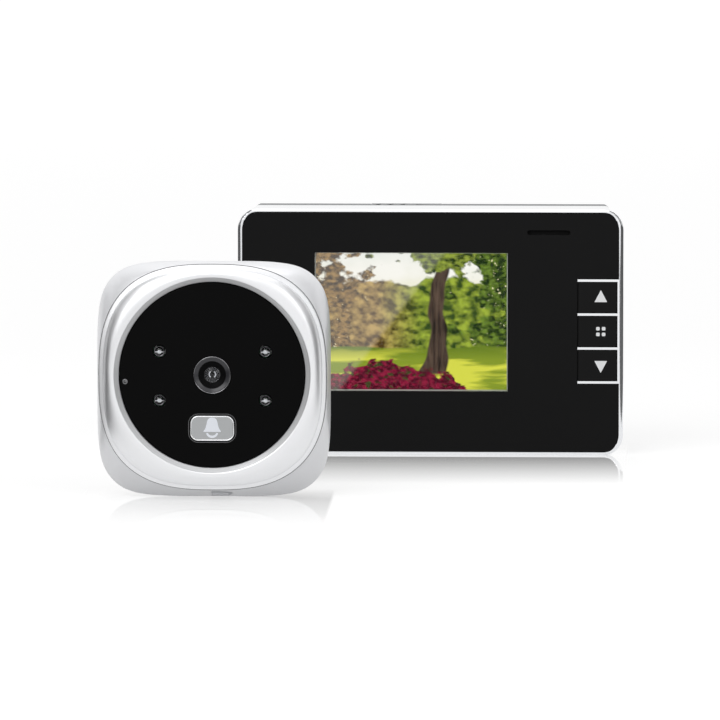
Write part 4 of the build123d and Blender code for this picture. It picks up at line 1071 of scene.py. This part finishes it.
@dataclass
class CameraUnit:
    """Housing, swelling bezel, black disc, lens, lamps and doorbell button."""

    x: float = -59.0
    back: float = -122.0
    z: float = 33.9
    ridge_rise: float = 1.3
    face_rise: float = 2.2
    ridge_half_width: float = 32.7
    ridge_half_height: float = 32.5
    ridge: float = -9.5
    ridge_power: float = 2.7
    housing_rounding: float = 0.12
    parting: float = 0.2
    seal: float = 0.25
    seal_proud: float = 0.08
    seal_sunk: float = 0.02
    lip: float = 0.5
    lip_bevel: float = 0.3
    cove: float = 1.1
    crown_radius: float = 28.9
    crown: float = -13.8
    throat_radius: float = 27.95
    throat_land: float = 28.35
    throat_drop: float = 0.3
    chamfer_drop: float = 1.2
    hole_radius: float = 26.75
    window_front: float = -12.4
    window_rear: float = -10.6
    seat_radius: float = 25.2
    ring_points: int = 192
    crown_steps: int = 22
    lip_steps: int = 3
    throat_steps: int = 6
    chamfer_soft: float = 0.05
    chamfer_land: float = 0.08

    def ring(self, half_width: float, half_height: float, power: float, y: float, rise: float) -> list[Vector]:
        """A superellipse ring in the unit's own place, raised over its middle."""
        return squircle(half_width, half_height, power, self.back + y, (self.x, self.z + rise), self.ring_points)

    def build(self) -> None:
        """Build the unit's pieces in order."""
        housing = finished_copy("camera_housing", self.housing_rounding, 32.0, level=False)
        settle(housing, Finishes.satin_silver, "silver_shell")
        bezel = self.bezel()
        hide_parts("camera_bezel")
        settle(bezel, Finishes.bezel_silver, "silver_shell")
        # painted shade: the dark seal stands in for the shadow line in the joint between bezel and housing
        settle(self.bezel_shadow_seal(), Finishes.shadow_seal_grey, "rubber_black")
        for node, rounding, *look in (
            ("camera_window", 0.1, Finishes.disc_black, "black_acrylic"),
            ("housing_screws", 0.08, Finishes.steel, "screw_steel"),
            ("door_gasket", 0.2, Finishes.foam, "foam"),
        ):
            settle(finished_copy(node, rounding), *look)
        face_z = self.z + self.face_rise
        window = self.back + self.window_front
        Lens(self.x, face_z, window).build()
        Lamps(self.x, face_z, window).build()
        BellButton(self.x, face_z, window).build()
        MicrophoneRing(self.x, face_z, window).build()
        Barrel(self.x, self.z, self.back).build()

    def bezel(self) -> bpy.types.Object:
        """The ring in front: lip, cove, crown and chamfered throat, with its hidden inside."""
        half_w = self.ridge_half_width - self.parting
        half_h = self.ridge_half_height - self.parting
        lip_y = self.ridge - self.lip
        cove_y = lip_y - self.lip_bevel
        rings = [self.ring(half_w, half_h, self.ridge_power, y, self.ridge_rise) for y in (self.ridge, lip_y)]
        for step in range(1, self.lip_steps + 1):
            angle = math.pi / 2 * step / self.lip_steps
            inset = self.lip_bevel * (1 - math.cos(angle))
            y = lip_y - self.lip_bevel * math.sin(angle)
            rings.append(self.ring(half_w - inset, half_h - inset, self.ridge_power, y, self.ridge_rise))
        foot_w, foot_h = half_w - self.cove, half_h - self.cove
        start = cove_y - self.parting
        for step in range(self.crown_steps + 1):
            angle = math.pi / 2 * step / self.crown_steps
            share = 1 - math.cos(angle)
            width = foot_w + (self.crown_radius - foot_w) * share
            height = foot_h + (self.crown_radius - foot_h) * share
            power = self.ridge_power + (2 - self.ridge_power) * share
            rise = self.ridge_rise + (self.face_rise - self.ridge_rise) * share
            rings.append(self.ring(width, height, power, start + (self.crown - start) * math.sin(angle), rise))
        for radius, y in self.throat():
            rings.append(self.ring(radius, radius, 2.0, y, self.face_rise))
        piece = ring_stack("camera_bezel_finished", rings, looped=True)
        smooth(piece, 28.0)
        return piece

    def bezel_shadow_seal(self) -> bpy.types.Object:
        """The thin dark seal in the joint between the bezel and the housing; its dark grey also stands in for the
        shade of the parting line.
        """
        outer_w, outer_h = self.ridge_half_width - self.seal_sunk, self.ridge_half_height - self.seal_sunk
        rings = []
        front, rear = -self.seal_proud, self.seal_sunk
        for inset, y in ((0.0, rear), (0.0, front), (self.seal, front), (self.seal, rear)):
            width, height = outer_w - inset, outer_h - inset
            rings.append(self.ring(width, height, self.ridge_power, self.ridge + y, self.ridge_rise))
        return ring_stack("bezel_shadow_seal", rings, looped=True)

    def throat(self) -> list[Point2]:
        """Radius and Y of the ring's inside, from the crown to the back."""
        points = []
        land = self.throat_land
        for step in range(self.throat_steps + 1):
            angle = math.pi / 2 * step / self.throat_steps
            radius = land - (land - self.throat_radius) * math.sin(angle)
            points.append((radius, self.crown + self.throat_drop * (1 - math.cos(angle))))
        points += [
            (self.hole_radius + self.chamfer_land, self.crown + self.chamfer_drop - self.chamfer_soft),
            (self.hole_radius, self.crown + self.chamfer_drop + self.chamfer_soft),
            (self.hole_radius, self.window_rear),
            (self.seat_radius, self.window_rear),
            (self.seat_radius, self.ridge),
        ]
        return points


@dataclass
class Lens:
    """Barrel, front element and the stepped black rings inside the lens."""

    x: float
    z: float
    window: float
    radius: float = 5.3
    proud: float = 0.4
    rolled: float = 0.35
    roll_steps: int = 6
    slope_edge: Point2 = (0.08, 0.03)
    edge_shape: tuple[Point2, ...] = (
        (0.0, 0.42), (0.0, 0.12), (0.04, 0.04), (0.1, 0.01), (0.16, 0.04), (0.16, 0.42),
    )
    cone_radius: float = 3.95
    cone_top: float = 0.42
    mouth_radius: float = 2.08
    mouth_clearance: float = 0.05
    cone_depth: float = 1.3
    glass_drop: float = 1.1
    glass_seat: float = 3.1
    rear: float = 4.8
    lining: float = 0.02
    lining_depth: Point2 = (0.04, 0.1)
    steps: tuple[Point2, ...] = ((3.35, 0.6), (2.75, 0.9), (2.15, 1.15))
    step_width: float = 0.28
    step_sunk: float = 0.15
    step_tilt: float = 0.03
    iris_hole: float = 1.05
    iris_radius: float = 2.9
    iris_drop: float = 1.15
    iris_depth: float = 0.5
    clip_outer: float = 0.98
    clip_inner: float = 0.70
    clip_spread: float = 58.0
    clip_steps: int = 6
    clip_depth: float = 0.08
    clip_lift: float = 0.01
    fine_points: int = 128

    def build(self) -> None:
        """Make the ringed barrel, dress the glass and fit the iris and its retaining ring."""
        front, centre = self.window - self.proud, (self.x, self.z)
        barrel = turned("lens_barrel_finished", self.barrel(front), centre, self.fine_points)
        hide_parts("lens_barrel")
        settle(barrel, Finishes.lens_black, "lens_black")
        edge = turned("lens_edge", self.edge(front), centre, self.fine_points, 40.0)
        settle(edge, Finishes.lens_edge, "lens_black")
        step_looks = (Finishes.lens_matt, Finishes.lens_matt, Finishes.lens_edge)
        for index, ((radius, drop), look) in enumerate(zip(self.steps, step_looks)):
            step = turned(f"lens_step_{index + 1}", self.step(front, radius, drop), centre)
            settle(step, look, "lens_black")
        funnel = turned("lens_funnel", self.funnel(front), centre, self.fine_points)
        settle(funnel, Finishes.lens_matt, "lens_black")
        settle(finished_copy("lens_glass", 0.0, level=False), Finishes.lens_glass, "optical_glass")
        iris = front + self.cone_depth + self.iris_drop
        settle(turned("lens_iris", self.iris(iris), centre, crisp=0.0), Finishes.iris_black, "lens_black")
        rear = iris - self.clip_lift
        for number, side in enumerate((-1, 1), 1):
            clip = polygon(f"lens_clip_{number}", self.clip(side), rear - self.clip_depth, rear)
            settle(clip, Finishes.steel, "lens_black")

    def iris(self, front: float) -> list[Point2]:
        """Profile of the black ring behind the glass."""
        inner, outer, rear = self.iris_hole, self.iris_radius, front + self.iris_depth
        return [(inner, front), (outer, front), (outer, rear), (inner, rear)]

    def edge(self, front: float) -> list[Point2]:
        """Profile of the thin bright edge round the barrel's face."""
        outer = self.radius + self.lining
        return [(outer - inset, front + depth) for inset, depth in self.edge_shape]

    def clip(self, side: int) -> list[Point2]:
        """Outline of one half of the retaining ring, which has slots at its top and bottom."""
        spread = math.radians(self.clip_spread)
        turns = [spread * (step / self.clip_steps - 1) for step in range(2 * self.clip_steps + 1)]
        outer = [(self.clip_outer * math.cos(a), self.clip_outer * math.sin(a)) for a in turns]
        inner = [(self.clip_inner * math.cos(a), self.clip_inner * math.sin(a)) for a in reversed(turns)]
        return [(self.x + side * dx, self.z + dz) for dx, dz in outer + inner]

    def barrel(self, front: float) -> list[Point2]:
        """Profile of the barrel: a face that slopes inwards, a rolled edge and a conical mouth."""
        rear, start = self.window + self.rear, self.radius - self.rolled
        inset, depth = self.slope_edge
        profile = [(self.cone_radius, front + self.cone_top), (start - inset, front + depth)]
        for step in range(self.roll_steps + 1):
            angle = math.pi / 2 * step / self.roll_steps
            y = front + self.rolled * (1 - math.cos(angle))
            profile.append((start + self.rolled * math.sin(angle), y))
        mouth = self.mouth_radius + self.mouth_clearance
        glass = front + self.cone_depth + self.glass_drop
        return profile + [
            (self.radius, rear), (self.glass_seat, rear), (self.glass_seat, glass), (mouth, glass),
            (mouth, front + self.cone_depth),
        ]

    def funnel(self, front: float) -> list[Point2]:
        """Profile of the matt lining of the conical mouth."""
        outer, top, foot = self.cone_radius - self.lining, front + self.cone_top, front + self.cone_depth
        return [
            (outer, top - self.lining_depth[0]), (self.mouth_radius, foot - self.lining_depth[1]),
            (self.mouth_radius, foot - self.lining), (outer, top + self.lining),
        ]

    def step(self, front: float, radius: float, drop: float) -> list[Point2]:
        """Profile of a thin step that stands out of the cone."""
        top, outer = front + drop, radius + self.step_width
        slope = (self.cone_radius - self.mouth_radius) / (self.cone_depth - self.cone_top)
        cone_y = front + self.cone_top + (self.cone_radius - outer) / slope + self.step_sunk
        return [(radius, top), (outer, top + self.step_tilt), (outer, cone_y), (radius, cone_y)]


@dataclass
class Lamps:
    """The bright cup and the flat post inside each of the four clear lamps."""

    x: float
    z: float
    window: float
    places: tuple[Point2, ...] = ((-15.15, 6.6), (15.15, 6.6), (-15.15, -7.4), (15.15, -7.4))
    points: int = 40
    cup_radius: float = 0.85
    cup_lip: float = 0.1
    cup_hole: float = 0.3
    cup_dish: float = 0.55
    cup_depth: float = 1.4
    cup_drop: float = 2.0
    post_front: float = -0.35
    post_rear: float = -0.2
    post: tuple[Point2, ...] = (
        (-1.2, -0.24), (-0.4, -0.24), (-0.2, -0.42), (0.2, -0.42), (0.4, -0.24), (1.2, -0.24),
        (1.2, -0.08), (0.45, -0.02), (0.18, 0.2), (-0.18, 0.2), (-0.45, -0.02), (-1.2, -0.08),
    )

    def build(self) -> None:
        """Make one cup and one post, and copy them to the other lamps."""
        (first_x, first_z), *others = self.places
        centre = (self.x + first_x, self.z + first_z)
        front = self.window + self.cup_drop
        rear, rim = front + self.cup_depth, self.cup_radius
        cup = turned("lamp_cup_1", [
            (self.cup_hole, front + self.cup_dish), (rim - self.cup_lip, front), (rim, front), (rim, rear),
            (self.cup_hole, rear),
        ], centre, self.points)
        outline = [(centre[0] + dx, centre[1] + dz) for dx, dz in self.post]
        post = polygon("lamp_post_1", outline, front + self.post_front, front + self.post_rear)
        pieces = [(cup, Finishes.cup_grey), (post, Finishes.steel)]
        for number, (x, z) in enumerate(others, 2):
            shift = (x - first_x, z - first_z)
            pieces.append((twin(cup, f"lamp_cup_{number}", shift), Finishes.cup_grey))
            pieces.append((twin(post, f"lamp_post_{number}", shift), Finishes.steel))
        for piece, look in pieces:
            settle(piece, look, "lamp_clear")


@dataclass
class BellButton:
    """Doorbell button with a polished rim and a bell sign."""

    x: float
    z: float
    window: float
    drop: float = -15.3
    width: float = 12.6
    height: float = 7.2
    corner: float = 2.3
    proud: float = 0.45
    rim: float = 0.42
    dish: float = 0.12
    corner_steps: int = 12
    gap: float = 0.42
    flange_drop: float = 1.85
    flange_width: float = 0.9
    flange_depth: float = 0.7
    plunger_radius: float = 1.5
    plunger_end: float = 3.4
    face_inset: float = 0.4
    lap: float = 0.02
    rim_seat: float = 0.3
    rim_height: float = 0.24
    rim_depth: float = 0.5
    rim_steps: int = 8
    sign_proud: float = 0.06
    bell_top: float = 3.1
    bell_side: tuple[Point2, ...] = (
        (0.0, 0.0), (0.5, 0.06), (0.95, 0.27), (1.27, 0.62), (1.45, 1.08), (1.62, 1.9), (1.82, 2.7),
        (2.06, 3.3), (2.4, 3.75), (2.5, 3.95), (2.44, 4.12),
    )
    clapper_top: float = -1.35
    clapper_steps: int = 16
    clapper_outer: Point2 = (1.68, 1.4)
    clapper_inner: Point2 = (1.12, 0.72)
    surround_width: float = 0.11
    surround_proud: float = 0.03
    surround_depth: float = 0.15

    def build(self) -> None:
        """Make the button, its rim, its sign and the edge of its hole."""
        settle(self.surround(), Finishes.ring_grey, "spring_steel")
        body = self.body()
        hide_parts("doorbell_button")
        settle(body, Finishes.button_silver, "button_silver", Carrier.BELL)
        paint_faces(body, Finishes.matt_black, lambda face: (
            abs(face.normal.y) < 0.5 or face.center.y > self.window * MM
        ))
        settle(self.rim_piece(), Finishes.bright_chrome, "button_silver", Carrier.BELL)
        face = self.window - self.proud + self.dish
        for name, outline in (("bell_sign", self.bell()), ("bell_clapper", self.clapper())):
            sign = polygon(name, outline, face - self.sign_proud, face + self.lap)
            settle(sign, Finishes.bell_white, "button_silver", Carrier.BELL)

    def outline(self, grow: float, y: float) -> list[Vector]:
        """The button's outline, grown all round."""
        centre = (self.x, self.z + self.drop)
        size = (self.width + 2 * grow, self.height + 2 * grow, self.corner + grow)
        return rounded_box(*size, y, centre, self.corner_steps)

    def body(self) -> bpy.types.Object:
        """The grey body: a face dished between the rim, straight sides, a flange and a plunger."""
        face = self.window - self.proud + self.dish
        flange = self.window + self.flange_drop
        rings = [self.outline(grow, y) for grow, y in (
            (-self.rim - self.face_inset, face),
            (-self.rim + self.lap, face),
            (-self.rim + self.lap, face + self.rim_seat),
            (-self.lap, face + self.rim_seat),
            (-self.lap, flange),
            (self.flange_width, flange),
            (self.flange_width, flange + self.flange_depth),
        )]
        centre = (self.x, self.z + self.drop)
        for y in (flange + self.flange_depth, self.window + self.plunger_end):
            rings.append(round_like(rings[-1], self.plunger_radius, centre, y))
        piece = ring_stack("doorbell_button_finished", rings)
        smooth(piece, 30.0)
        return piece

    def rim_piece(self) -> bpy.types.Object:
        """The polished rim: a half-round bead round the face."""
        front = self.window - self.proud
        rings = []
        for step in range(self.rim_steps + 1):
            angle = math.pi * step / self.rim_steps
            inset = self.rim / 2 * (1 - math.cos(angle))
            rings.append(self.outline(-inset, front + self.rim_height * (1 - math.sin(angle))))
        for inset in (self.rim, 0.0):
            rings.append(self.outline(-inset, front + self.rim_depth))
        piece = ring_stack("doorbell_button_rim", rings, looped=True)
        smooth(piece, 40.0)
        return piece

    def bell(self) -> list[Point2]:
        """Outline of a bell with a rounded top and a wide mouth."""
        top = self.z + self.drop + self.bell_top
        right = [(self.x + dx, top - dz) for dx, dz in self.bell_side]
        left = [(self.x - dx, top - dz) for dx, dz in reversed(self.bell_side[1:])]
        return right + left

    def clapper(self) -> list[Point2]:
        """Outline of the clapper, a crescent under the bell."""
        top = self.z + self.drop + self.clapper_top
        turns = [math.pi * step / self.clapper_steps for step in range(self.clapper_steps + 1)]
        outline = []
        for (wide, deep), order in ((self.clapper_outer, turns), (self.clapper_inner, reversed(turns))):
            outline += [(self.x + wide * math.cos(a), top - deep * math.sin(a)) for a in order]
        return outline

    def surround(self) -> bpy.types.Object:
        """The thin grey edge round the button's hole in the disc."""
        front, rear = self.window - self.surround_proud, self.window + self.surround_depth
        outer = self.gap + self.surround_width
        rings = [self.outline(*at) for at in ((self.gap, rear), (self.gap, front), (outer, front), (outer, rear))]
        return ring_stack("doorbell_surround", rings, looped=True)


def round_like(guide: Sequence[Vector], radius: float, centre: Point2, y: float) -> list[Vector]:
    """A round ring whose points stand at the same angles as a guide ring's points.

    Args:
        guide: the ring to follow.
        radius: the new ring's radius.
        centre: X and Z of its middle.
        y: where it lies.

    Returns:
        One point for each of the guide's.
    """
    middle = Vector((centre[0], 0, centre[1]))
    made = []
    for point in guide:
        place = middle + (Vector((point.x, 0, point.z)) - middle).normalized() * radius
        made.append(Vector((place.x, y, place.z)))
    return made


@dataclass
class MicrophoneRing:
    """Small grey ring round the microphone's hole."""

    x: float
    z: float
    window: float
    place: Point2 = (-24.9, -2.0)
    points: int = 40
    profile: tuple[Point2, ...] = (
        (0.34, 0.1), (0.42, -0.03), (0.6, -0.05), (0.74, 0.02), (0.74, 0.19), (0.34, 0.19)
    )

    def build(self) -> None:
        """Make the ring."""
        centre = (self.x + self.place[0], self.z + self.place[1])
        profile = [(radius, self.window + y) for radius, y in self.profile]
        ring = turned("microphone_ring", profile, centre, self.points, 40.0)
        settle(ring, Finishes.ring_grey, "spring_steel")


@dataclass
class Barrel:
    """The hollow barrel with its screw thread."""

    x: float
    z: float
    back: float
    radius: float = 6.0
    bore: float = 4.0
    collar: float = 6.4
    flats: float = 17.0
    flange_front: float = -3.4
    flange_rear: float = -1.8
    start: float = 1.5
    end: float = 38.0
    end_bevel: float = 0.6
    lap: float = 0.02
    pitch: float = 1.5
    depth: float = 0.62
    crest: float = 0.12
    count: int = 60
    rings_per_turn: int = 8

    def build(self) -> None:
        """Make the threaded tube with its collar, and the hexagonal flange that sits in the housing's socket."""
        first, last = self.start + self.lap, self.end - self.end_bevel
        steps = int((last - self.start) / self.pitch * self.rings_per_turn)
        thread = [first + (last - first) * step / steps for step in range(steps + 1)]
        rings = [self.circle(radius, y) for radius, y in (
            (self.bore, self.flange_rear), (self.collar, self.flange_rear), (self.collar, self.start)
        )]
        rings += [self.thread_ring(y) for y in thread]
        rings += [self.circle(radius, self.end) for radius in (self.radius - self.depth, self.bore)]
        tube = ring_stack("threaded_barrel_finished", rings, looped=True)
        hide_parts("threaded_barrel")
        rear, front = self.flange_rear, self.flange_front
        flange = ring_stack("barrel_flange", [
            self.circle(self.bore, rear), self.circle(self.bore, front), self.hexagon(front), self.hexagon(rear)
        ], looped=True)
        for piece, crisp in ((tube, 50.0), (flange, 30.0)):
            smooth(piece, crisp)
            settle(piece, Finishes.nickel, "barrel_metal")

    def circle(self, radius: float, y: float) -> list[Vector]:
        """A round ring of the barrel."""
        return circle_ring(radius, self.back + y, (self.x, self.z), self.count)

    def ring(self, reach: Callable[[float], float], y: float) -> list[Vector]:
        """A ring whose reach follows the share of a turn."""
        points = []
        for step in range(self.count):
            turn = step / self.count
            angle, radius = 2 * math.pi * turn, reach(turn)
            dx, dz = radius * math.cos(angle), radius * math.sin(angle)
            points.append(Vector((self.x + dx, self.back + y, self.z + dz)))
        return points

    def thread_ring(self, y: float) -> list[Vector]:
        """One ring of the thread, its radius following the helix; the thread fades in over its first turn."""
        fade = min(1.0, (y - self.start) / self.pitch)

        def reach(turn: float) -> float:
            """The thread's radius at a share of a turn."""
            phase = (y / self.pitch - turn) % 1.0
            dip = max(0.0, abs(phase - 0.5) * 2 - self.crest) / (1 - self.crest)
            return self.radius - self.depth * dip * fade

        return self.ring(reach, y)

    def hexagon(self, y: float) -> list[Vector]:
        """The flange's hexagonal outline, with its points at the angles of the bore's."""

        def reach(turn: float) -> float:
            """From the middle to the flat side at a share of a turn."""
            local = (2 * math.pi * turn + math.pi / 6) % (math.pi / 3) - math.pi / 6
            return self.flats / 2 / math.cos(local)

        return self.ring(reach, y)


# Nodes that keep their own shape

NODE_FINISHES: dict[str, Surface] = {
    "screen_window": Finishes.coated_acrylic,
    "lcd_panel": Finishes.picture,
    "lcd_backlight": Finishes.white_nylon,
    "lcd_foam_strips": Finishes.foam,
    "key_switches": Finishes.steel,
    "main_board": Finishes.solder_mask,
    "main_board_screws": Finishes.steel,
    "speaker": Finishes.matt_black,
    "battery_cells": Finishes.cell_can,
    "battery_contacts": Finishes.spring_steel,
    "camera_lead_socket": Finishes.white_nylon,
    "power_switch": Finishes.spring_steel,
    "lens_mount": Finishes.matt_black,
    "image_sensor": Finishes.iris_black,
    "infrared_lamps": Finishes.lamp_epoxy,
    "doorbell_switch": Finishes.steel,
    "microphone": Finishes.steel,
    "microphone_boot": Finishes.rubber,
    "camera_board": Finishes.solder_mask,
    "camera_board_screws": Finishes.steel,
    "camera_board_socket": Finishes.white_nylon,
}


def dress_nodes() -> None:
    """Give every CAD node that is still shown its finish."""
    for node, finish in NODE_FINISHES.items():
        finish_with(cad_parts[node], finish)
        LOG.info("%s keeps its shape", node)


# Studio


@dataclass
class Softbox:
    """A square lamp that looks at a point."""

    name: str
    place: tuple[float, float, float]
    aim: tuple[float, float, float]
    size: float
    power: float

    def build(self) -> None:
        """Hang the lamp."""
        data = bpy.data.lights.new(self.name, "AREA")
        data.shape = "SQUARE"
        data.size = self.size
        data.energy = self.power
        lamp = bpy.data.objects.new(self.name, data)
        bpy.context.collection.objects.link(lamp)
        lamp.location = self.place
        lamp.rotation_euler = (Vector(self.aim) - Vector(self.place)).to_track_quat("-Z", "Y").to_euler()


@dataclass
class Card:
    """A card beside the object, so that polished metal shows dark and light edges; only mirrors see its front."""

    name: str
    place: tuple[float, float, float]
    facing: tuple[float, float, float]
    size: Point2
    glow: float

    def build(self) -> None:
        """Stand the card."""
        bpy.ops.object.select_all(action="DESELECT")
        bpy.ops.mesh.primitive_plane_add(size=1.0, location=self.place)
        card = bpy.context.object
        card.scale = (*self.size, 1.0)
        card.name = self.name
        card.rotation_euler = Vector(self.facing).to_track_quat("Z", "Y").to_euler()
        card.visible_camera = False
        card.visible_shadow = False
        card.visible_diffuse = False
        paint = Graph(f"{self.name}_paint")
        paint.set(Base_Color=rgba((0.0, 0.0, 0.0)), Specular_IOR_Level=0.0)
        paint.set(Emission_Color=rgba(WHITE), Emission_Strength=self.glow)
        behind = paint.node("ShaderNodeNewGeometry").outputs["Backfacing"]
        paint.show(behind, paint.shader.outputs[0], paint.node("ShaderNodeBsdfTransparent").outputs[0])
        card.data.materials.append(paint.owner)


@dataclass
class Studio:
    """Camera, pale floor, soft lamps, cards and the white surroundings.

    A strip of the floor that mirrors is given as its front, its shine, its left and its right.
    """

    target: tuple[float, float, float] = (-21.36, 0.0, 27.1)
    azimuth: float = 1.958
    elevation: float = 5.705
    distance: float = 2912.8
    lens: float = 486.9
    floor_size: float = 12.0
    world_strength: float = 0.45
    near_glow: float = 0.68
    far_glow: float = 0.9
    floor_colour: float = 0.36
    glow_reach: Point2 = (0.35, 2.2)
    monitor_strip: tuple[float, float, float, float] = (-0.011, 0.74, -0.0590, 0.0590)
    unit_strip: tuple[float, float, float, float] = (-0.133, 0.32, -0.0960, -0.0245)
    shine_length: float = 0.078
    strip_edge: float = 0.001
    behind: Point2 = (0.005, 0.03)
    low_angle: Point2 = (0.82, 0.89)
    lamps: tuple[Softbox, ...] = (
        Softbox("key_light", (-0.75, -1.1, 0.95), (-0.03, -0.06, 0.03), 1.3, 12.0),
        Softbox("fill_light", (0.95, -0.9, 0.7), (-0.03, -0.06, 0.03), 0.9, 5.0),
        Softbox("top_light", (0.0, 0.15, 1.3), (-0.03, -0.06, 0.03), 1.0, 4.0),
    )
    cards: tuple[Card, ...] = (
        Card("card_left", (-0.50, -0.34, 0.11), (1.0, 0.0, 0.0), (0.56, 0.22), 0.08),
        Card("card_right", (0.42, -0.34, 0.11), (-1.0, 0.0, 0.0), (0.56, 0.22), 0.08),
        Card("high_left", (-0.50, -0.34, 0.41), (1.0, 0.0, 0.0), (0.56, 0.38), 0.45),
        Card("high_right", (0.42, -0.34, 0.41), (-1.0, 0.0, 0.0), (0.56, 0.38), 0.45),
        Card("mat_left", (-0.315, -0.34, 0.001), (0.0, 0.0, 1.0), (0.37, 0.56), 0.12),
        Card("mat_right", (0.27, -0.34, 0.001), (0.0, 0.0, 1.0), (0.30, 0.56), 0.12),
        Card("side_left", (-0.27, -0.005, 0.065), (1.0, 0.0, 0.0), (0.11, 0.13), 0.34),
        Card("side_right", (0.25, -0.005, 0.085), (-1.0, 0.0, 0.0), (0.11, 0.11), 0.55),
        Card("corner_left", (-0.346, -0.006, 0.362), (0.682, 0.0, -0.731), (0.075, 0.43), 0.0),
        Card("corner_right", (0.33, -0.006, 0.362), (-0.682, 0.0, -0.731), (0.075, 0.43), 0.0),
        Card("card_behind", (-0.059, -0.081, 0.0345), (0.0, 1.0, 0.0), (0.076, 0.069), 1.0),
    )

    def build(self) -> None:
        """Set up the whole studio."""
        self.camera()
        self.floor()
        self.surroundings()
        for lamp in self.lamps:
            lamp.build()
        for card in self.cards:
            card.build()
        bpy.context.scene.view_settings.view_transform = "Standard"

    def camera(self) -> None:
        """The camera at the photograph's viewing angle."""
        around, above = math.radians(self.azimuth), math.radians(self.elevation)
        back = Vector(
            (math.sin(around) * math.cos(above), -math.cos(around) * math.cos(above), math.sin(above))
        )
        data = bpy.data.cameras.new("studio_camera")
        data.sensor_width = 36.0
        data.lens = self.lens
        data.clip_start, data.clip_end = 0.05, 50.0
        camera = bpy.data.objects.new("studio_camera", data)
        bpy.context.collection.objects.link(camera)
        camera.location = Vector(self.target) * MM + back * self.distance * MM
        camera.rotation_euler = (-back).to_track_quat("-Z", "Y").to_euler()
        bpy.context.scene.camera = camera

    def floor(self) -> None:
        """A plain pale floor that glows where it is seen, keeps the shadows and mirrors the object faintly."""
        bpy.ops.object.select_all(action="DESELECT")
        bpy.ops.mesh.primitive_plane_add(size=self.floor_size, location=(0, 0, 0))
        plane = bpy.context.object
        plane.name = "studio_floor"
        graph = Graph("pale_floor")
        graph.set(Base_Color=rgba((self.floor_colour,) * 3), Roughness=0.6, Specular_IOR_Level=0.0)
        glow = graph.spread(graph.length(graph.place()), *self.glow_reach, self.near_glow, self.far_glow)
        white = graph.node("ShaderNodeEmission", rgba(WHITE), graph.sum("MULTIPLY", graph.seen(), glow))
        lit = graph.node("ShaderNodeAddShader", graph.shader.outputs[0], white.outputs[0])
        mirror = graph.node("ShaderNodeBsdfGlossy", rgba(WHITE), 0.0)
        graph.show(self.polish(graph), lit.outputs[0], mirror.outputs[0])
        plane.data.materials.append(graph.owner)

    def polish(self, graph: Graph) -> Socket:
        """How much the floor mirrors: only where the two units stand, at a low angle, and fading in front of each."""
        across, depth, _ = graph.split(graph.place())
        strips = []
        for front, shine, left, right in (self.monitor_strip, self.unit_strip):
            fade = graph.spread(depth, front - self.shine_length, front, 0.0, shine)
            for value, start, end, first, last in (
                (depth, front + self.behind[0], front + self.behind[1], 1.0, 0.0),
                (across, left - self.strip_edge, left, 0.0, 1.0),
                (across, right - self.strip_edge, right, 1.0, 0.0),
            ):
                fade = graph.sum("MULTIPLY", fade, graph.spread(value, start, end, first, last))
            strips.append(fade)
        facing = graph.node("ShaderNodeLayerWeight").outputs["Facing"]
        return graph.sum("MULTIPLY", graph.sum("MAXIMUM", *strips), graph.spread(facing, *self.low_angle))

    def surroundings(self) -> None:
        """Soft light from all round, white where it is seen."""
        sky = Graph("studio", world=True)
        bpy.context.scene.world = sky.owner
        level = sky.spread(sky.seen(), 0.0, 1.0, self.world_strength, 1.0)
        sky.set(Color=rgba(WHITE), Strength=level)


def main() -> None:
    """Build every sub-assembly in order and report it."""
    logging.basicConfig(level=logging.INFO, format="%(message)s")
    Studio().build()
    dress_nodes()
    MonitorCase().build()
    Display().build()
    SoundCloth().build()
    KeyPad().build()
    CameraUnit().build()


if __name__ == "__main__":
    main()
